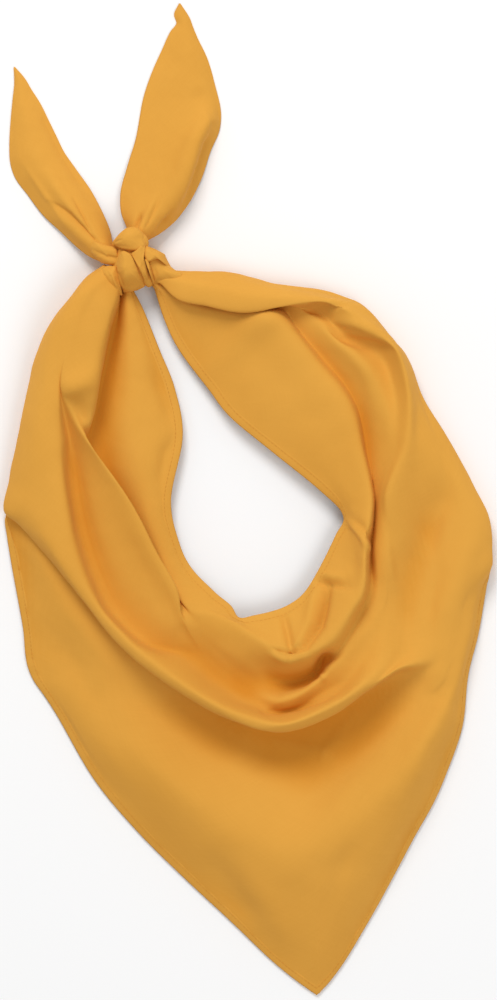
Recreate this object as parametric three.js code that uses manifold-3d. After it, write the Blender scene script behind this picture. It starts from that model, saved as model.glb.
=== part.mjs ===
// A triangular cotton neckerchief, hemmed all round, tied in a small overhand knot and laid flat on a table.
//
// Frame: +X to the right, +Y from the hanging point of the drape to the two tails, +Z up from the table.
// The origin is under the middle of the whole scarf. Lengths are millimetres.
//
// The cloth is described by fold lines. Each line runs along the loop of cloth, from the left side of the
// knot round the hanging point to the right side of the knot, and the cloth is a smooth sheet through them.

import * as THREE from "three";
import Module from "manifold-3d";

// Cloth
const CLOTH_THICKNESS = 1.2;
const HEM_THICKNESS = 2;
const HEM_WIDTH = 7.2;

// Drape: the loop round the neck and the point that hangs from it
const DRAPE_WIDTH = 353;
const DRAPE_LENGTH = 527;
const DRAPE_HEIGHT = 50;

// Knot
const KNOT_WIDTH = 50;
const KNOT_LENGTH = 46;
const KNOT_HEIGHT = 36;

// Tails
const LEFT_TAIL_LENGTH = 154;
const LEFT_TAIL_WIDTH = 44.4;
const LEFT_TAIL_HEIGHT = 24;
const LEFT_TAIL_ANGLE = 28;
const RIGHT_TAIL_LENGTH = 174.7;
const RIGHT_TAIL_WIDTH = 62.2;
const RIGHT_TAIL_HEIGHT = 26;
const RIGHT_TAIL_ANGLE = -10;

// Space kept between the knot and the cloth that runs into it
const CLEARANCE = 0.3;

// In the drape's tables the width counts as 100, the length as 73.5 and the height as 100.
const GRID_WIDTH = 100;
const GRID_LENGTH = 73.5;
const GRID_HEIGHT = 100;

// Fold lines of the drape, from the hem round the neck to the hem of the hanging point.
// Each row is [station along the loop, across from the left, up from the point, height above the table].
// A height of 0 is cloth that lies on the table.
const FOLDS = {
  neck_hem: [
    [0, 26.5, 71.2, 20], [1, 28.8, 69, 18], [2, 31.9, 65.2, 14], [3, 35.1, 61.2, 12],
    [4, 36.7, 56.4, 16], [5, 34.3, 50, 18], [6, 36.1, 45.5, 14], [8, 43.1, 40.8, 20],
    [9, 46.5, 39.4, 26], [10, 48.2, 38.2, 34], [11, 51.2, 38.4, 34], [13, 58.8, 39.6, 28],
    [14, 61.7, 40.8, 28], [15, 64.7, 43.2, 26], [16, 67.9, 46.4, 24], [17, 69.5, 48.5, 24],
    [18, 64.4, 51.1, 26], [19, 55.1, 54.8, 24], [20, 46.5, 58.3, 22], [21, 42.2, 61, 18],
    [23, 34.9, 66, 16], [24, 32.7, 68.5, 18], [25, 31, 71.2, 24],
  ],
  collar_crest: [
    [0, 25.3, 71, 28], [1, 25.5, 68.5, 30], [3, 26.1, 60.9, 30], [4, 26.5, 56, 30], [5, 28.8, 49.5, 30],
    [6, 32, 44.8, 30], [8, 38.2, 39, 42], [9, 42.7, 38.5, 46], [10, 47.1, 37.7, 52],
    [11, 51.8, 36.1, 58], [12, 57.1, 34.5, 64], [13, 62.4, 34.7, 66], [14, 66.9, 36, 68],
    [15, 71.2, 39.1, 70], [16, 73.5, 41.2, 70], [17, 74.1, 46, 68], [17.5, 75.1, 50.1, 56],
    [18, 73.3, 54.7, 48], [19, 70.2, 59.8, 46], [20, 63.9, 63.7, 47], [21, 57.8, 67.3, 50],
    [21.5, 54.2, 68.6, 50], [22, 50.8, 69.5, 36], [23, 43.5, 70, 26], [25, 31.8, 71.6, 32],
  ],
  collar_drop: [
    [0, 24.1, 71.1, 16], [1, 23.3, 68.3, 16], [2, 21.6, 64.9, 15], [3, 19.6, 60.8, 15],
    [4, 18.4, 56, 15], [5, 23.9, 49.6, 15], [6, 29.2, 44.5, 15], [7, 33.9, 41.9, 14],
    [8, 37.8, 38.7, 40], [9, 41.6, 36.7, 40], [10, 45.9, 35.1, 42], [11, 50.8, 33.5, 38],
    [12, 57.1, 31.7, 18], [13, 63.3, 32.7, 20], [13.5, 65.3, 34.2, 24], [14, 68.2, 34.8, 44],
    [15, 73.1, 38.7, 42], [16, 75.1, 41.1, 40], [17, 75.3, 45.5, 30], [17.5, 75.9, 50, 34],
    [18, 74.3, 55, 25], [19, 71.4, 60.3, 25], [20, 65.1, 64.3, 27], [21, 58.8, 67.8, 28],
    [21.5, 56.2, 69.2, 22], [22, 52.9, 70.2, 17], [23, 45.1, 71.1, 14], [25, 33.1, 72.2, 20],
  ],
  first_edge: [
    [0, 23.7, 71.3, 44], [1, 22.4, 68.9, 56], [2, 19.8, 64.9, 60], [2.7, 19.2, 62.1, 60],
    [3, 18.8, 60.7, 57], [3.3, 18.2, 59.2, 50], [3.7, 17.6, 57.6, 44], [4.2, 15.3, 55.5, 26],
    [5, 21, 49.4, 20], [6, 27.4, 44.1, 20], [7, 31.6, 42.5, 22], [8, 37, 38.4, 42], [9, 40.8, 35.9, 34],
    [10, 45.3, 33.9, 32], [11, 50.4, 32.1, 26], [12, 57.3, 30.9, 28], [13, 64.1, 32, 24],
    [13.5, 65.9, 33.5, 30], [14, 68.8, 34.6, 46], [15, 74.3, 38.4, 44], [16, 76.5, 40.8, 43],
    [17, 76.1, 45.5, 44], [17.5, 76.3, 50.1, 38], [18, 74.9, 55.1, 26], [19, 72, 60.5, 26],
    [20, 65.5, 64.5, 27], [21, 59.2, 68, 29], [21.5, 57.4, 69.7, 26], [22, 54.1, 70.7, 20],
    [23, 46.1, 71.7, 16], [25, 33.7, 72.5, 22],
  ],
  second_edge: [
    [0, 21.8, 72, 50], [1, 18.6, 70.2, 64], [2, 14.7, 65.9, 68], [3, 12.2, 60.9, 66],
    [3.5, 14.5, 58.6, 56], [4, 16.9, 56.4, 58], [5, 25.9, 50, 58], [6, 31, 45.2, 56],
    [7, 35.5, 41.1, 54], [8, 36.6, 38.1, 46], [9, 40, 35.2, 29], [10, 44.7, 32.7, 27],
    [11, 50.2, 30.9, 26], [12, 57.3, 29.9, 46], [13, 65.3, 32.2, 44], [13.5, 67.1, 33.3, 47],
    [14, 69.4, 34.3, 49], [15, 75.7, 37.9, 45], [16, 78.2, 40.5, 42], [17, 77.1, 45.5, 50],
    [17.5, 76.7, 50.2, 44], [18, 78.4, 55.4, 44], [19, 75.9, 62, 46], [20, 68.6, 65.8, 46],
    [21, 61.4, 69, 35], [21.5, 57.6, 69.9, 32], [22, 53.7, 70.9, 26], [23, 45.5, 71.7, 26],
    [25, 33.5, 72.4, 28],
  ],
  second_valley: [
    [0, 21.4, 72.4, 50], [1, 17.3, 70.6, 66], [2, 13.5, 66.3, 68], [3, 12, 61, 63], [4, 13.7, 56, 34],
    [5, 15.1, 49.7, 30], [6, 18, 44, 30], [7, 22.9, 39, 30], [8, 30, 35.6, 30], [9, 37.8, 34.3, 27],
    [10, 43.9, 31.7, 30], [11, 50, 29.7, 38], [12, 58, 28.8, 36], [13, 66.3, 30.9, 38],
    [14, 70.8, 32.4, 46], [15, 77.1, 36.9, 46], [16, 79.8, 40, 40], [17, 78.4, 45.4, 52],
    [17.5, 77.3, 50.3, 52], [18, 80, 55.5, 52], [19, 78.4, 63.5, 36], [20, 70.6, 66.3, 36],
    [21, 63.1, 69.1, 33], [21.5, 57, 69.6, 50], [22, 51.6, 70, 44], [23, 43.3, 70.5, 38],
    [25, 32.9, 72, 34],
  ],
  roll_top: [
    [0, 21, 72.8, 48], [1, 16.1, 70.8, 64], [2, 12, 66.6, 66], [3, 11.4, 61, 66], [4, 11.6, 56, 62],
    [5, 12.4, 50.5, 64], [6, 15.1, 44.4, 68], [7, 19.2, 39.8, 72], [8, 24.7, 36.5, 76],
    [9, 31, 33.8, 78], [10, 41.8, 30.1, 82], [11, 50.6, 28.2, 84], [12, 58, 27.7, 82],
    [13, 67.1, 29.5, 78], [14, 72.7, 31.4, 74], [15, 78.8, 34.3, 56], [16, 82.7, 38.8, 38],
    [17, 80.2, 45.2, 46], [17.5, 78.4, 50.4, 62], [18, 82.2, 55.4, 64], [18.5, 82.9, 59.7, 62],
    [19, 81, 64.3, 62], [19.5, 76.9, 66.6, 60], [20, 73.3, 67.9, 56], [21, 64.9, 69.8, 58],
    [22, 49.8, 68.8, 58], [23, 41, 69.5, 52], [24, 35.7, 70.1, 46], [25, 32.2, 71.7, 40],
  ],
  shoulder: [
    [0, 20.8, 73.2, 44], [0.5, 17.4, 72.2, 50], [1, 15.1, 70.9, 54], [2, 10, 66.6, 56],
    [3, 8.4, 61.1, 60], [4, 7.1, 56.2, 60], [5, 5.9, 50, 54], [6, 11.2, 44.4, 68], [7, 17.3, 39.9, 70],
    [8, 23.3, 36.4, 74], [9, 29.8, 33.5, 76], [10, 41.6, 29.6, 80], [12, 58, 27.2, 78],
    [13, 67.3, 29, 74], [14, 73.5, 31.1, 72], [15, 79.8, 33.5, 56], [16, 85.5, 37.1, 37],
    [17, 87.6, 43.8, 34], [17.5, 85.9, 48.6, 37], [18, 84.7, 54.8, 55], [18.5, 84.3, 59.8, 46],
    [19, 81.8, 64.2, 52], [20, 74.3, 68.4, 46], [21, 65.9, 70.2, 54], [22, 52.9, 70.2, 62],
    [23, 43.7, 71.1, 58], [25, 33.5, 72.2, 46],
  ],
  roll_edge: [
    [0, 20.6, 73.6, 28], [0.5, 17, 72.3, 28], [1, 14.2, 70.5, 28], [2, 8.2, 66.4, 26],
    [3, 5.1, 61.1, 26], [4, 3, 56.2, 26], [4.7, 1.2, 51.8, 22], [5, 0.2, 49, 24], [5.3, 3.1, 47.7, 27],
    [6, 9.2, 44.4, 44], [7, 16.3, 40.1, 62], [8, 22.4, 36.3, 66], [9, 29.2, 33.2, 68],
    [10, 41.6, 29.1, 70], [11, 50.6, 27.4, 70], [12, 58, 26.8, 68], [13, 67.6, 28.6, 66],
    [14, 74.1, 30.9, 64], [15, 80.2, 33, 62], [16, 88, 35.1, 40], [16.5, 89.6, 38.5, 40],
    [17, 91.4, 42.6, 40], [17.5, 90.8, 48.2, 40], [18, 89.2, 54, 43], [18.5, 85, 59.9, 37],
    [19, 82.5, 64.1, 38], [19.5, 78.8, 66.5, 38], [20, 75, 68.8, 38], [21, 66.9, 70.4, 42],
    [22, 54.7, 71.1, 52], [23, 45.5, 72, 48], [25, 34.1, 72.7, 40],
  ],
  roll_under: [
    [0, 21, 73.2, 14], [1, 15.3, 70, 10], [2, 9.4, 66.1, 8], [3, 6.5, 61, 8], [4, 4.3, 56.1, 8],
    [4.7, 2.2, 51.6, 10], [5, 0.8, 49.3, 14], [5.3, 3.7, 47.6, 20], [6, 10, 44, 37], [7, 17.1, 40, 46],
    [8, 23.3, 36.4, 46], [9, 30, 33.2, 40], [10, 41.8, 29.2, 32], [12, 58, 27, 30], [13, 68, 28.6, 30],
    [14, 74.7, 30.7, 32], [15, 81.2, 32.5, 34], [16, 89.4, 34.2, 39], [16.5, 91.6, 38, 40],
    [17, 94.1, 42, 41], [17.5, 96.9, 47.5, 40], [18, 89.8, 54.9, 38], [18.5, 85.3, 60, 30],
    [19, 82.8, 64, 30], [19.5, 79.2, 66.4, 30], [20, 75.4, 68.7, 30], [21, 67.3, 70.5, 34],
    [22, 55.5, 71.4, 42], [23, 46.1, 72.6, 38], [25, 34.3, 72.9, 34],
  ],
  apron_valley: [
    [0, 21.6, 72.8, 1.2], [1, 16.3, 69.8, 1.2], [2, 10.6, 65.9, 1.2], [3, 8, 60.9, 1.2],
    [4, 5.7, 56, 1.2], [4.7, 2.4, 51.3, 5], [4.85, 1.2, 50.1, 7], [5, 1, 49.3, 10],
    [5.15, 1.8, 48.8, 14], [5.3, 3.3, 47.8, 16], [6, 7.6, 43.9, 29], [7, 12.9, 39, 38],
    [8, 18.6, 35.1, 38], [9, 25.5, 31.2, 32], [10, 39.8, 26.6, 22], [11, 50.8, 25.1, 22],
    [12, 60.6, 24.2, 20], [13, 71.2, 25.7, 20], [14, 78.6, 28, 22], [15, 84.7, 30.3, 26],
    [16, 90.6, 32.7, 35], [16.5, 93.5, 37.3, 35], [17, 96.5, 41.6, 32], [17.1, 99, 43, 28],
    [17.3, 99.8, 45.2, 24], [17.5, 99.4, 47.9, 24], [17.75, 95.9, 51.7, 22], [18, 91, 56, 22],
    [18.5, 85.7, 60.3, 22], [19, 82.9, 63.8, 22], [19.5, 79.4, 66.2, 22], [20, 75.6, 68.5, 22],
    [20.5, 72.8, 69.8, 24], [21, 67.6, 70.8, 26], [22, 55.9, 71.7, 28], [23, 46.3, 72.9, 26],
    [24, 39.8, 72.9, 26], [25, 34.5, 73.1, 26],
  ],
  apron_crest: [
    [0, 22.4, 72.4, 1.2], [1, 17.8, 69.5, 1.2], [2, 12.9, 65.5, 1.2], [3, 10, 60.8, 1.2],
    [4, 7.8, 56, 1.2], [4.7, 3.5, 50.7, 4], [4.85, 1.5, 49.5, 5], [5, 0.8, 48.8, 6], [5.15, 1, 48.3, 8],
    [5.3, 1.8, 47.3, 9], [6, 4.9, 43.6, 15], [7, 8, 38.1, 20], [8, 12.4, 33.5, 26], [9, 18.8, 29.1, 38],
    [10, 35.7, 20.9, 52], [11, 50.4, 15.9, 58], [12, 63.1, 14.4, 60], [13, 73.3, 16.9, 56],
    [14, 81.4, 21.1, 52], [15, 86.7, 25.7, 46], [15.5, 90.4, 28.9, 40], [16, 92.9, 32.3, 30],
    [16.5, 95.1, 36.6, 28], [17, 97.9, 41.7, 19], [17.1, 99.4, 42.7, 13], [17.3, 98.8, 45, 8],
    [17.5, 98.4, 46.8, 6], [18, 90, 55.7, 6], [18.5, 84.7, 60, 6], [19, 81.8, 63.8, 6],
    [19.5, 78.4, 65.8, 6], [20, 74.3, 68, 6], [21, 66.9, 70.2, 6], [22, 55.3, 71.2, 6],
    [23, 45.9, 72.5, 6], [24, 39.4, 72.5, 8], [25, 34.3, 72.9, 10],
  ],
  outer_hem: [
    [0, 23.9, 71.7, 1.2], [1, 20.4, 68.9, 1.2], [2, 17.3, 64.9, 1.2], [3, 14.1, 60.6, 1.2],
    [4, 11.2, 55.9, 1.2], [4.5, 8.2, 52.6, 2], [4.7, 4.7, 50.1, 2.4], [4.85, 2, 48.8, 2.4],
    [5, 0.6, 48.3, 2.4], [5.15, 0.3, 47.7, 2.4], [5.3, 0.6, 46.7, 2.4], [6, 1.6, 43.6, 2.4],
    [7, 3.9, 37.4, 2.4], [8, 5.3, 32.7, 2.4], [9, 11.3, 28, 2.4], [9.5, 18.6, 21.8, 2.4],
    [10, 27.4, 16.6, 2.4], [10.5, 37, 11.9, 2.4], [11, 46.6, 7.5, 2.4], [11.5, 56, 3.1, 2.4],
    [11.9, 62.6, 0.6, 2.4], [12, 64.1, 0.1, 2.4], [12.1, 65.2, 0.6, 2.4], [12.5, 69, 2.9, 2.4],
    [13, 74.1, 7, 2.4], [14, 83.3, 15.3, 2.4], [15, 90.3, 22, 2.4], [15.5, 93.9, 27.1, 2.4],
    [16, 95.1, 32.3, 2.4], [16.5, 97.2, 36.5, 2.4], [17, 99, 41.6, 2.4], [17.1, 99.3, 42.4, 1.2],
    [17.3, 97, 44.6, 1.2], [17.5, 95.3, 46.4, 1.2], [18, 86.7, 54.7, 1.2], [18.5, 81.4, 59, 1.2],
    [19, 78.6, 62.8, 1.2], [20, 71.4, 66.6, 1.2], [21, 64.5, 68.6, 1.2], [22, 52.9, 69.8, 1.2],
    [23, 43.7, 71, 1.2], [25, 33.1, 72.1, 4],
  ],
};

// Order of the fold lines from the neck outward, and how many steps the mesh takes to the next one
const ACROSS = [
  { line: "neck_hem", steps: 1 },
  { line: "neck_hem_line", steps: 1 },
  { line: "inner_mid", steps: 1 },
  { line: "collar_crest", steps: 2 },
  { line: "collar_drop", steps: 1 },
  { line: "first_edge", steps: 2 },
  { line: "second_edge", steps: 2 },
  { line: "second_valley", steps: 2 },
  { line: "roll_top", steps: 1 },
  { line: "shoulder", steps: 1 },
  { line: "roll_edge", steps: 2 },
  { line: "roll_under", steps: 2 },
  { line: "apron_valley", steps: 2 },
  { line: "apron_crest", steps: 2 },
  { line: "hem_line", steps: 1 },
  { line: "outer_hem", steps: 0 },
];
const LAST_STATION = 25;
const STATION_STEP = 0.4;
// Corners of the outline that fall between the even steps
const CORNER_STATIONS = [3.7, 4.7, 4.85, 5, 5.15, 5.3, 11.9, 12.1, 17, 17.3, 17.5];
// Where the middle of the inner band lies between its hem and its crest, and how far it stands above a
// straight line between them: [station, share of the drape's height]
const INNER_MIDDLE_SHARE = 0.55;
const INNER_BAND_BULGE = [[0, 4], [8, 4], [10, 0], [16, 2], [18, 5], [20, 5], [22, 4], [25, 4]];
// Place of the knot's centre in the drape's grid
const KNOT_PLACE = { across: 27.45, up: 74.1 };
// Where the two bands of the drape run to inside the knot, in percent of the knot's sizes from its
// centre, and the share of the way that the cloth still shows
const LEFT_BAND_END = { x: -20, y: -20, height: 45 };
const RIGHT_BAND_END = { x: 12, y: -25, height: 45 };
const GATHER_SHARE = 0.6;

// Bands of cloth that wrap round the knot. Each row is [x, y, height, half width, half thickness]:
// x and half width in percent of the knot's width, y in percent of its length, both from its centre,
// height and half thickness in percent of its height.
const KNOT_WRAPS = [
  // over the top, under the right tail
  [
    [-36, 20, 34, 7, 12], [-27, 27, 58, 11, 14], [-10, 33, 80, 14, 17],
    [4, 30, 78, 13, 17], [9, 16, 60, 8, 15],
  ],
  // wide front wrap
  [
    [-15, 18, 64, 9, 16], [-13, -2, 80, 15, 18], [-11, -22, 80, 19, 18],
    [-9, -37, 68, 17, 17], [-6, -45, 48, 12, 15],
  ],
  // narrow strap down the middle
  [[-2, 18, 76, 9, 16], [2, 0, 84, 9, 17], [8, -17, 76, 8, 17], [15, -33, 60, 7, 16], [19, -41, 42, 6, 14]],
  // thin strap beside it
  [[12, 10, 68, 5, 13], [17, -8, 68, 4.5, 14], [20, -22, 60, 4, 14], [24, -36, 44, 4, 12]],
  // loop at the right side
  [[9, 16, 60, 7, 15], [21, 12, 66, 7, 15], [33, 4, 62, 7, 15], [41, -6, 52, 7, 14], [46, -18, 38, 7, 12]],
  // flap inside that loop
  [[13, -12, 46, 9, 14], [27, -15, 52, 12, 14], [37, -22, 46, 13, 14], [47, -28, 34, 10, 13]],
];
// Body of the knot that the wraps close round: centre and radii in the same percents
const KNOT_CORE = { x: -6, y: -6, height: 43, rx: 30, ry: 37, rz: 38 };
const WRAP_SIDES = 12;
const WRAP_STEPS = 10;

// The tails. Each row is [along, left edge, ridge, right edge, edge height, ridge height]: along in percent
// of the tail's length from the knot, the edges and ridge in percent of its width from its axis, the
// heights in percent of its height.
const LEFT_TAIL = [
  [-6, -4, 2, 8, 62, 86], [0, -24, -8, 5, 52, 88], [5, -37, -12, 7, 38, 84], [10, -45, -16, 12, 26, 78],
  [21, -58, -22, 16, 12, 66], [32, -71, -28, 16, 6, 54], [44, -78, -34, 11, 2, 46], [55, -83, -38, 7, 0, 40],
  [61, -79, -37, 8, 0, 36], [69, -66, -30, 9, 0, 30], [80, -43, -18, 10, 0, 22], [87, -27, -10, 8, 0, 16],
  [93, -13, -3, 7, 0, 10], [100, -1, 0, 1.5, 0, 2],
];
const RIGHT_TAIL = [
  [-8, -8, 0, 8, 56, 86], [0, -9, 0, 10, 48, 88], [4, -13, 3, 23, 36, 86], [10, -23, 12, 38, 22, 78],
  [17, -28, 22, 49, 12, 68], [30, -26, 38, 61, 5, 58], [42, -22, 46, 66, 2, 48], [52, -22, 52, 72, 0, 38],
  [57, -22, 48, 71, 0, 31], [70, -17, 28, 57, 0, 24], [80, -10, 20, 43, 0, 20], [88, -4, 13, 27, 0, 14],
  [92, 1, 11, 20, 0, 10], [94.5, -3, 7, 16, 0, 8], [100, 0, 1, 2, 0, 2],
];
// Where each tail leaves the knot, in percent of the knot's width and length from its centre
const LEFT_TAIL_ROOT = { x: -34, y: 9 };
const RIGHT_TAIL_ROOT = { x: -1, y: 31 };
const TAIL_STEPS = 20;
const TAIL_ACROSS_STEPS = 2;

const wasm = await Module();
wasm.setup();

// Value at t of a smooth curve through values[k] at knots[k], with one tangent at each knot.
function smoothAt(knots, values, t) {
  const last = knots.length - 1;
  let k = 0;
  while (k < last - 1 && t >= knots[k + 1]) k += 1;
  const slope = (i) => (values[i + 1] - values[i]) / (knots[i + 1] - knots[i]);
  const tangent = (i) => {
    if (i === 0) return slope(0);
    if (i === last) return slope(last - 1);
    const before = knots[i] - knots[i - 1];
    const after = knots[i + 1] - knots[i];
    return (slope(i - 1) * after + slope(i) * before) / (before + after);
  };
  const span = knots[k + 1] - knots[k];
  const s = (t - knots[k]) / span;
  const start = (1 + 2 * s) * (1 - s) ** 2;
  const end = s * s * (3 - 2 * s);
  const leave = s * (1 - s) ** 2 * span;
  const arrive = s * s * (s - 1) * span;
  return start * values[k] + end * values[k + 1] + leave * tangent(k) + arrive * tangent(k + 1);
}

// Row of a table at t: the first column is the knot, and the other columns are smoothed one by one.
function rowAt(rows, t) {
  const knots = rows.map((row) => row[0]);
  return rows[0].slice(1).map((_, column) => smoothAt(knots, rows.map((row) => row[column + 1]), t));
}

// Points of a smooth curve through the given points, with the given number of steps in each gap.
function smoothThrough(points, stepsInGap) {
  const knots = [0];
  for (let i = 1; i < points.length; i += 1) {
    knots.push(knots[i - 1] + Math.sqrt(Math.max(points[i].distanceTo(points[i - 1]), 0.04)));
  }
  const at = (t) => new THREE.Vector3(
    smoothAt(knots, points.map((p) => p.x), t),
    smoothAt(knots, points.map((p) => p.y), t),
    smoothAt(knots, points.map((p) => p.z), t),
  );
  const curve = [];
  stepsInGap.forEach((steps, gap) => {
    for (let i = 0; i < steps; i += 1) {
      curve.push(at(knots[gap] + ((knots[gap + 1] - knots[gap]) * i) / steps));
    }
  });
  curve.push(at(knots[knots.length - 1]));
  return curve;
}

function solidFrom(positions, triangles) {
  const mesh = new wasm.Mesh({
    numProp: 3,
    vertProperties: new Float32Array(positions),
    triVerts: new Uint32Array(triangles),
  });
  return new wasm.Manifold(mesh);
}

// Closed wall of cloth round a grid of points, half its thickness to each side. The underside
// goes no lower than the table.
function clothSolid(grid, halfThicknessAt) {
  const rows = grid.length;
  const columns = grid[0].length;
  const lift = (p, j) => new THREE.Vector3(p.x, p.y, Math.max(p.z, halfThicknessAt(j)));
  const lifted = grid.map((row) => row.map(lift));
  const direction = (from, to) => to.clone().sub(from).normalize();
  const bisector = (before, here, after) => direction(before, here).add(direction(here, after));
  const normalAt = (i, j) => {
    const here = lifted[i][j];
    const along = bisector(lifted[Math.max(i - 1, 0)][j], here, lifted[Math.min(i + 1, rows - 1)][j]);
    const across = bisector(lifted[i][Math.max(j - 1, 0)], here, lifted[i][Math.min(j + 1, columns - 1)]);
    return along.cross(across).normalize();
  };
  const positions = [];
  for (const side of [1, -1]) {
    for (let i = 0; i < rows; i += 1) {
      for (let j = 0; j < columns; j += 1) {
        const p = normalAt(i, j).multiplyScalar(side * halfThicknessAt(j)).add(lifted[i][j]);
        positions.push(p.x, p.y, Math.max(p.z, 0));
      }
    }
  }
  const front = (i, j) => i * columns + j;
  const back = (i, j) => rows * columns + i * columns + j;
  const triangles = [];
  const quad = (a, b, c, d) => triangles.push(a, b, c, a, c, d);
  for (let i = 0; i < rows - 1; i += 1) {
    for (let j = 0; j < columns - 1; j += 1) {
      quad(front(i, j), front(i + 1, j), front(i + 1, j + 1), front(i, j + 1));
      quad(back(i, j), back(i, j + 1), back(i + 1, j + 1), back(i + 1, j));
    }
  }
  for (let i = 0; i < rows - 1; i += 1) {
    quad(front(i, 0), back(i, 0), back(i + 1, 0), front(i + 1, 0));
    quad(front(i, columns - 1), front(i + 1, columns - 1), back(i + 1, columns - 1), back(i, columns - 1));
  }
  for (let j = 0; j < columns - 1; j += 1) {
    quad(front(0, j), front(0, j + 1), back(0, j + 1), back(0, j));
    quad(front(rows - 1, j), back(rows - 1, j), back(rows - 1, j + 1), front(rows - 1, j + 1));
  }
  return solidFrom(positions, triangles);
}

const knotCentre = new THREE.Vector3(
  (KNOT_PLACE.across / GRID_WIDTH) * DRAPE_WIDTH,
  (KNOT_PLACE.up / GRID_LENGTH) * DRAPE_LENGTH,
  0,
);

// Point in the knot's own percents, from the table under its centre.
const knotPoint = (x, y, height) => new THREE.Vector3(
  (x / 100) * KNOT_WIDTH,
  (y / 100) * KNOT_LENGTH,
  (height / 100) * KNOT_HEIGHT,
);

// Fold line of the drape at one station, in millimetres.
function foldPoint(rows, station) {
  const [across, up, height] = rowAt(rows, station);
  return new THREE.Vector3(
    (across / GRID_WIDTH) * DRAPE_WIDTH,
    (up / GRID_LENGTH) * DRAPE_LENGTH,
    (height / GRID_HEIGHT) * DRAPE_HEIGHT,
  );
}

// Value at a station along straight lines between the rows of a table with two columns.
function straightAt(rows, station) {
  const next = Math.max(1, rows.findIndex((row) => row[0] >= station));
  const [startStation, startValue] = rows[next - 1];
  const [endStation, endValue] = rows[next];
  return startValue + ((endValue - startValue) * (station - startStation)) / (endStation - startStation);
}

// Point a hem's width inside an edge, towards a fold line, and no further than halfway.
function insideHem(edge, towards) {
  const share = Math.min(HEM_WIDTH / edge.distanceTo(towards), 0.5);
  return edge.clone().lerp(towards, share);
}

function drapeGrid() {
  const stations = [...CORNER_STATIONS];
  for (let k = 0; k * STATION_STEP < LAST_STATION; k += 1) {
    const station = k * STATION_STEP;
    const clear = CORNER_STATIONS.every((corner) => Math.abs(corner - station) > STATION_STEP / 5);
    if (clear) stations.push(station);
  }
  stations.push(LAST_STATION);
  stations.sort((a, b) => a - b);
  const grid = stations.map((station) => {
    const points = {};
    for (const [line, rows] of Object.entries(FOLDS)) points[line] = foldPoint(rows, station);
    points.inner_mid = points.neck_hem.clone().lerp(points.collar_crest, INNER_MIDDLE_SHARE);
    points.inner_mid.z += (straightAt(INNER_BAND_BULGE, station) / GRID_HEIGHT) * DRAPE_HEIGHT;
    points.neck_hem_line = insideHem(points.neck_hem, points.inner_mid);
    points.hem_line = insideHem(points.outer_hem, points.apron_crest);
    const row = ACROSS.map(({ line }) => points[line]);
    return smoothThrough(row, ACROSS.slice(0, -1).map(({ steps }) => steps));
  });
  const gathered = (row, end) => {
    const target = knotPoint(end.x, end.y, end.height).add(knotCentre);
    return row.map((p) => p.clone().lerp(target, GATHER_SHARE));
  };
  return [gathered(grid[0], LEFT_BAND_END), ...grid, gathered(grid[grid.length - 1], RIGHT_BAND_END)];
}

function drapeSolid() {
  const hemSteps = ACROSS[0].steps;
  const columns = ACROSS.reduce((sum, { steps }) => sum + steps, 0);
  const outerHemSteps = ACROSS[ACROSS.length - 2].steps;
  const halfThickness = (j) => (
    j <= hemSteps || j >= columns - outerHemSteps ? HEM_THICKNESS / 2 : CLOTH_THICKNESS / 2
  );
  return clothSolid(drapeGrid(), halfThickness);
}

// Tail in its own frame: +Y along its axis from the knot, +X to its right.
function tailSolid(table, length, width, height) {
  const first = table[0][0];
  const last = table[table.length - 1][0];
  const grid = [];
  for (let i = 0; i <= TAIL_STEPS; i += 1) {
    const along = first + ((last - first) * i) / TAIL_STEPS;
    const [left, ridge, right, edgeHeight, ridgeHeight] = rowAt(table, along);
    const point = (across, rise) => new THREE.Vector3(
      (across / 100) * width,
      (along / 100) * length,
      (rise / 100) * height,
    );
    const between = (edge, share) => point(
      edge + (ridge - edge) * share,
      edgeHeight + (ridgeHeight - edgeHeight) * (share + share * (1 - share) * 0.8),
    );
    const profile = [point(right, edgeHeight), between(right, 0.5), point(ridge, ridgeHeight)];
    profile.push(between(left, 0.5), point(left, edgeHeight));
    grid.push(smoothThrough(profile, profile.slice(1).map(() => TAIL_ACROSS_STEPS)));
  }
  return clothSolid(grid, () => CLOTH_THICKNESS / 2);
}


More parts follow.
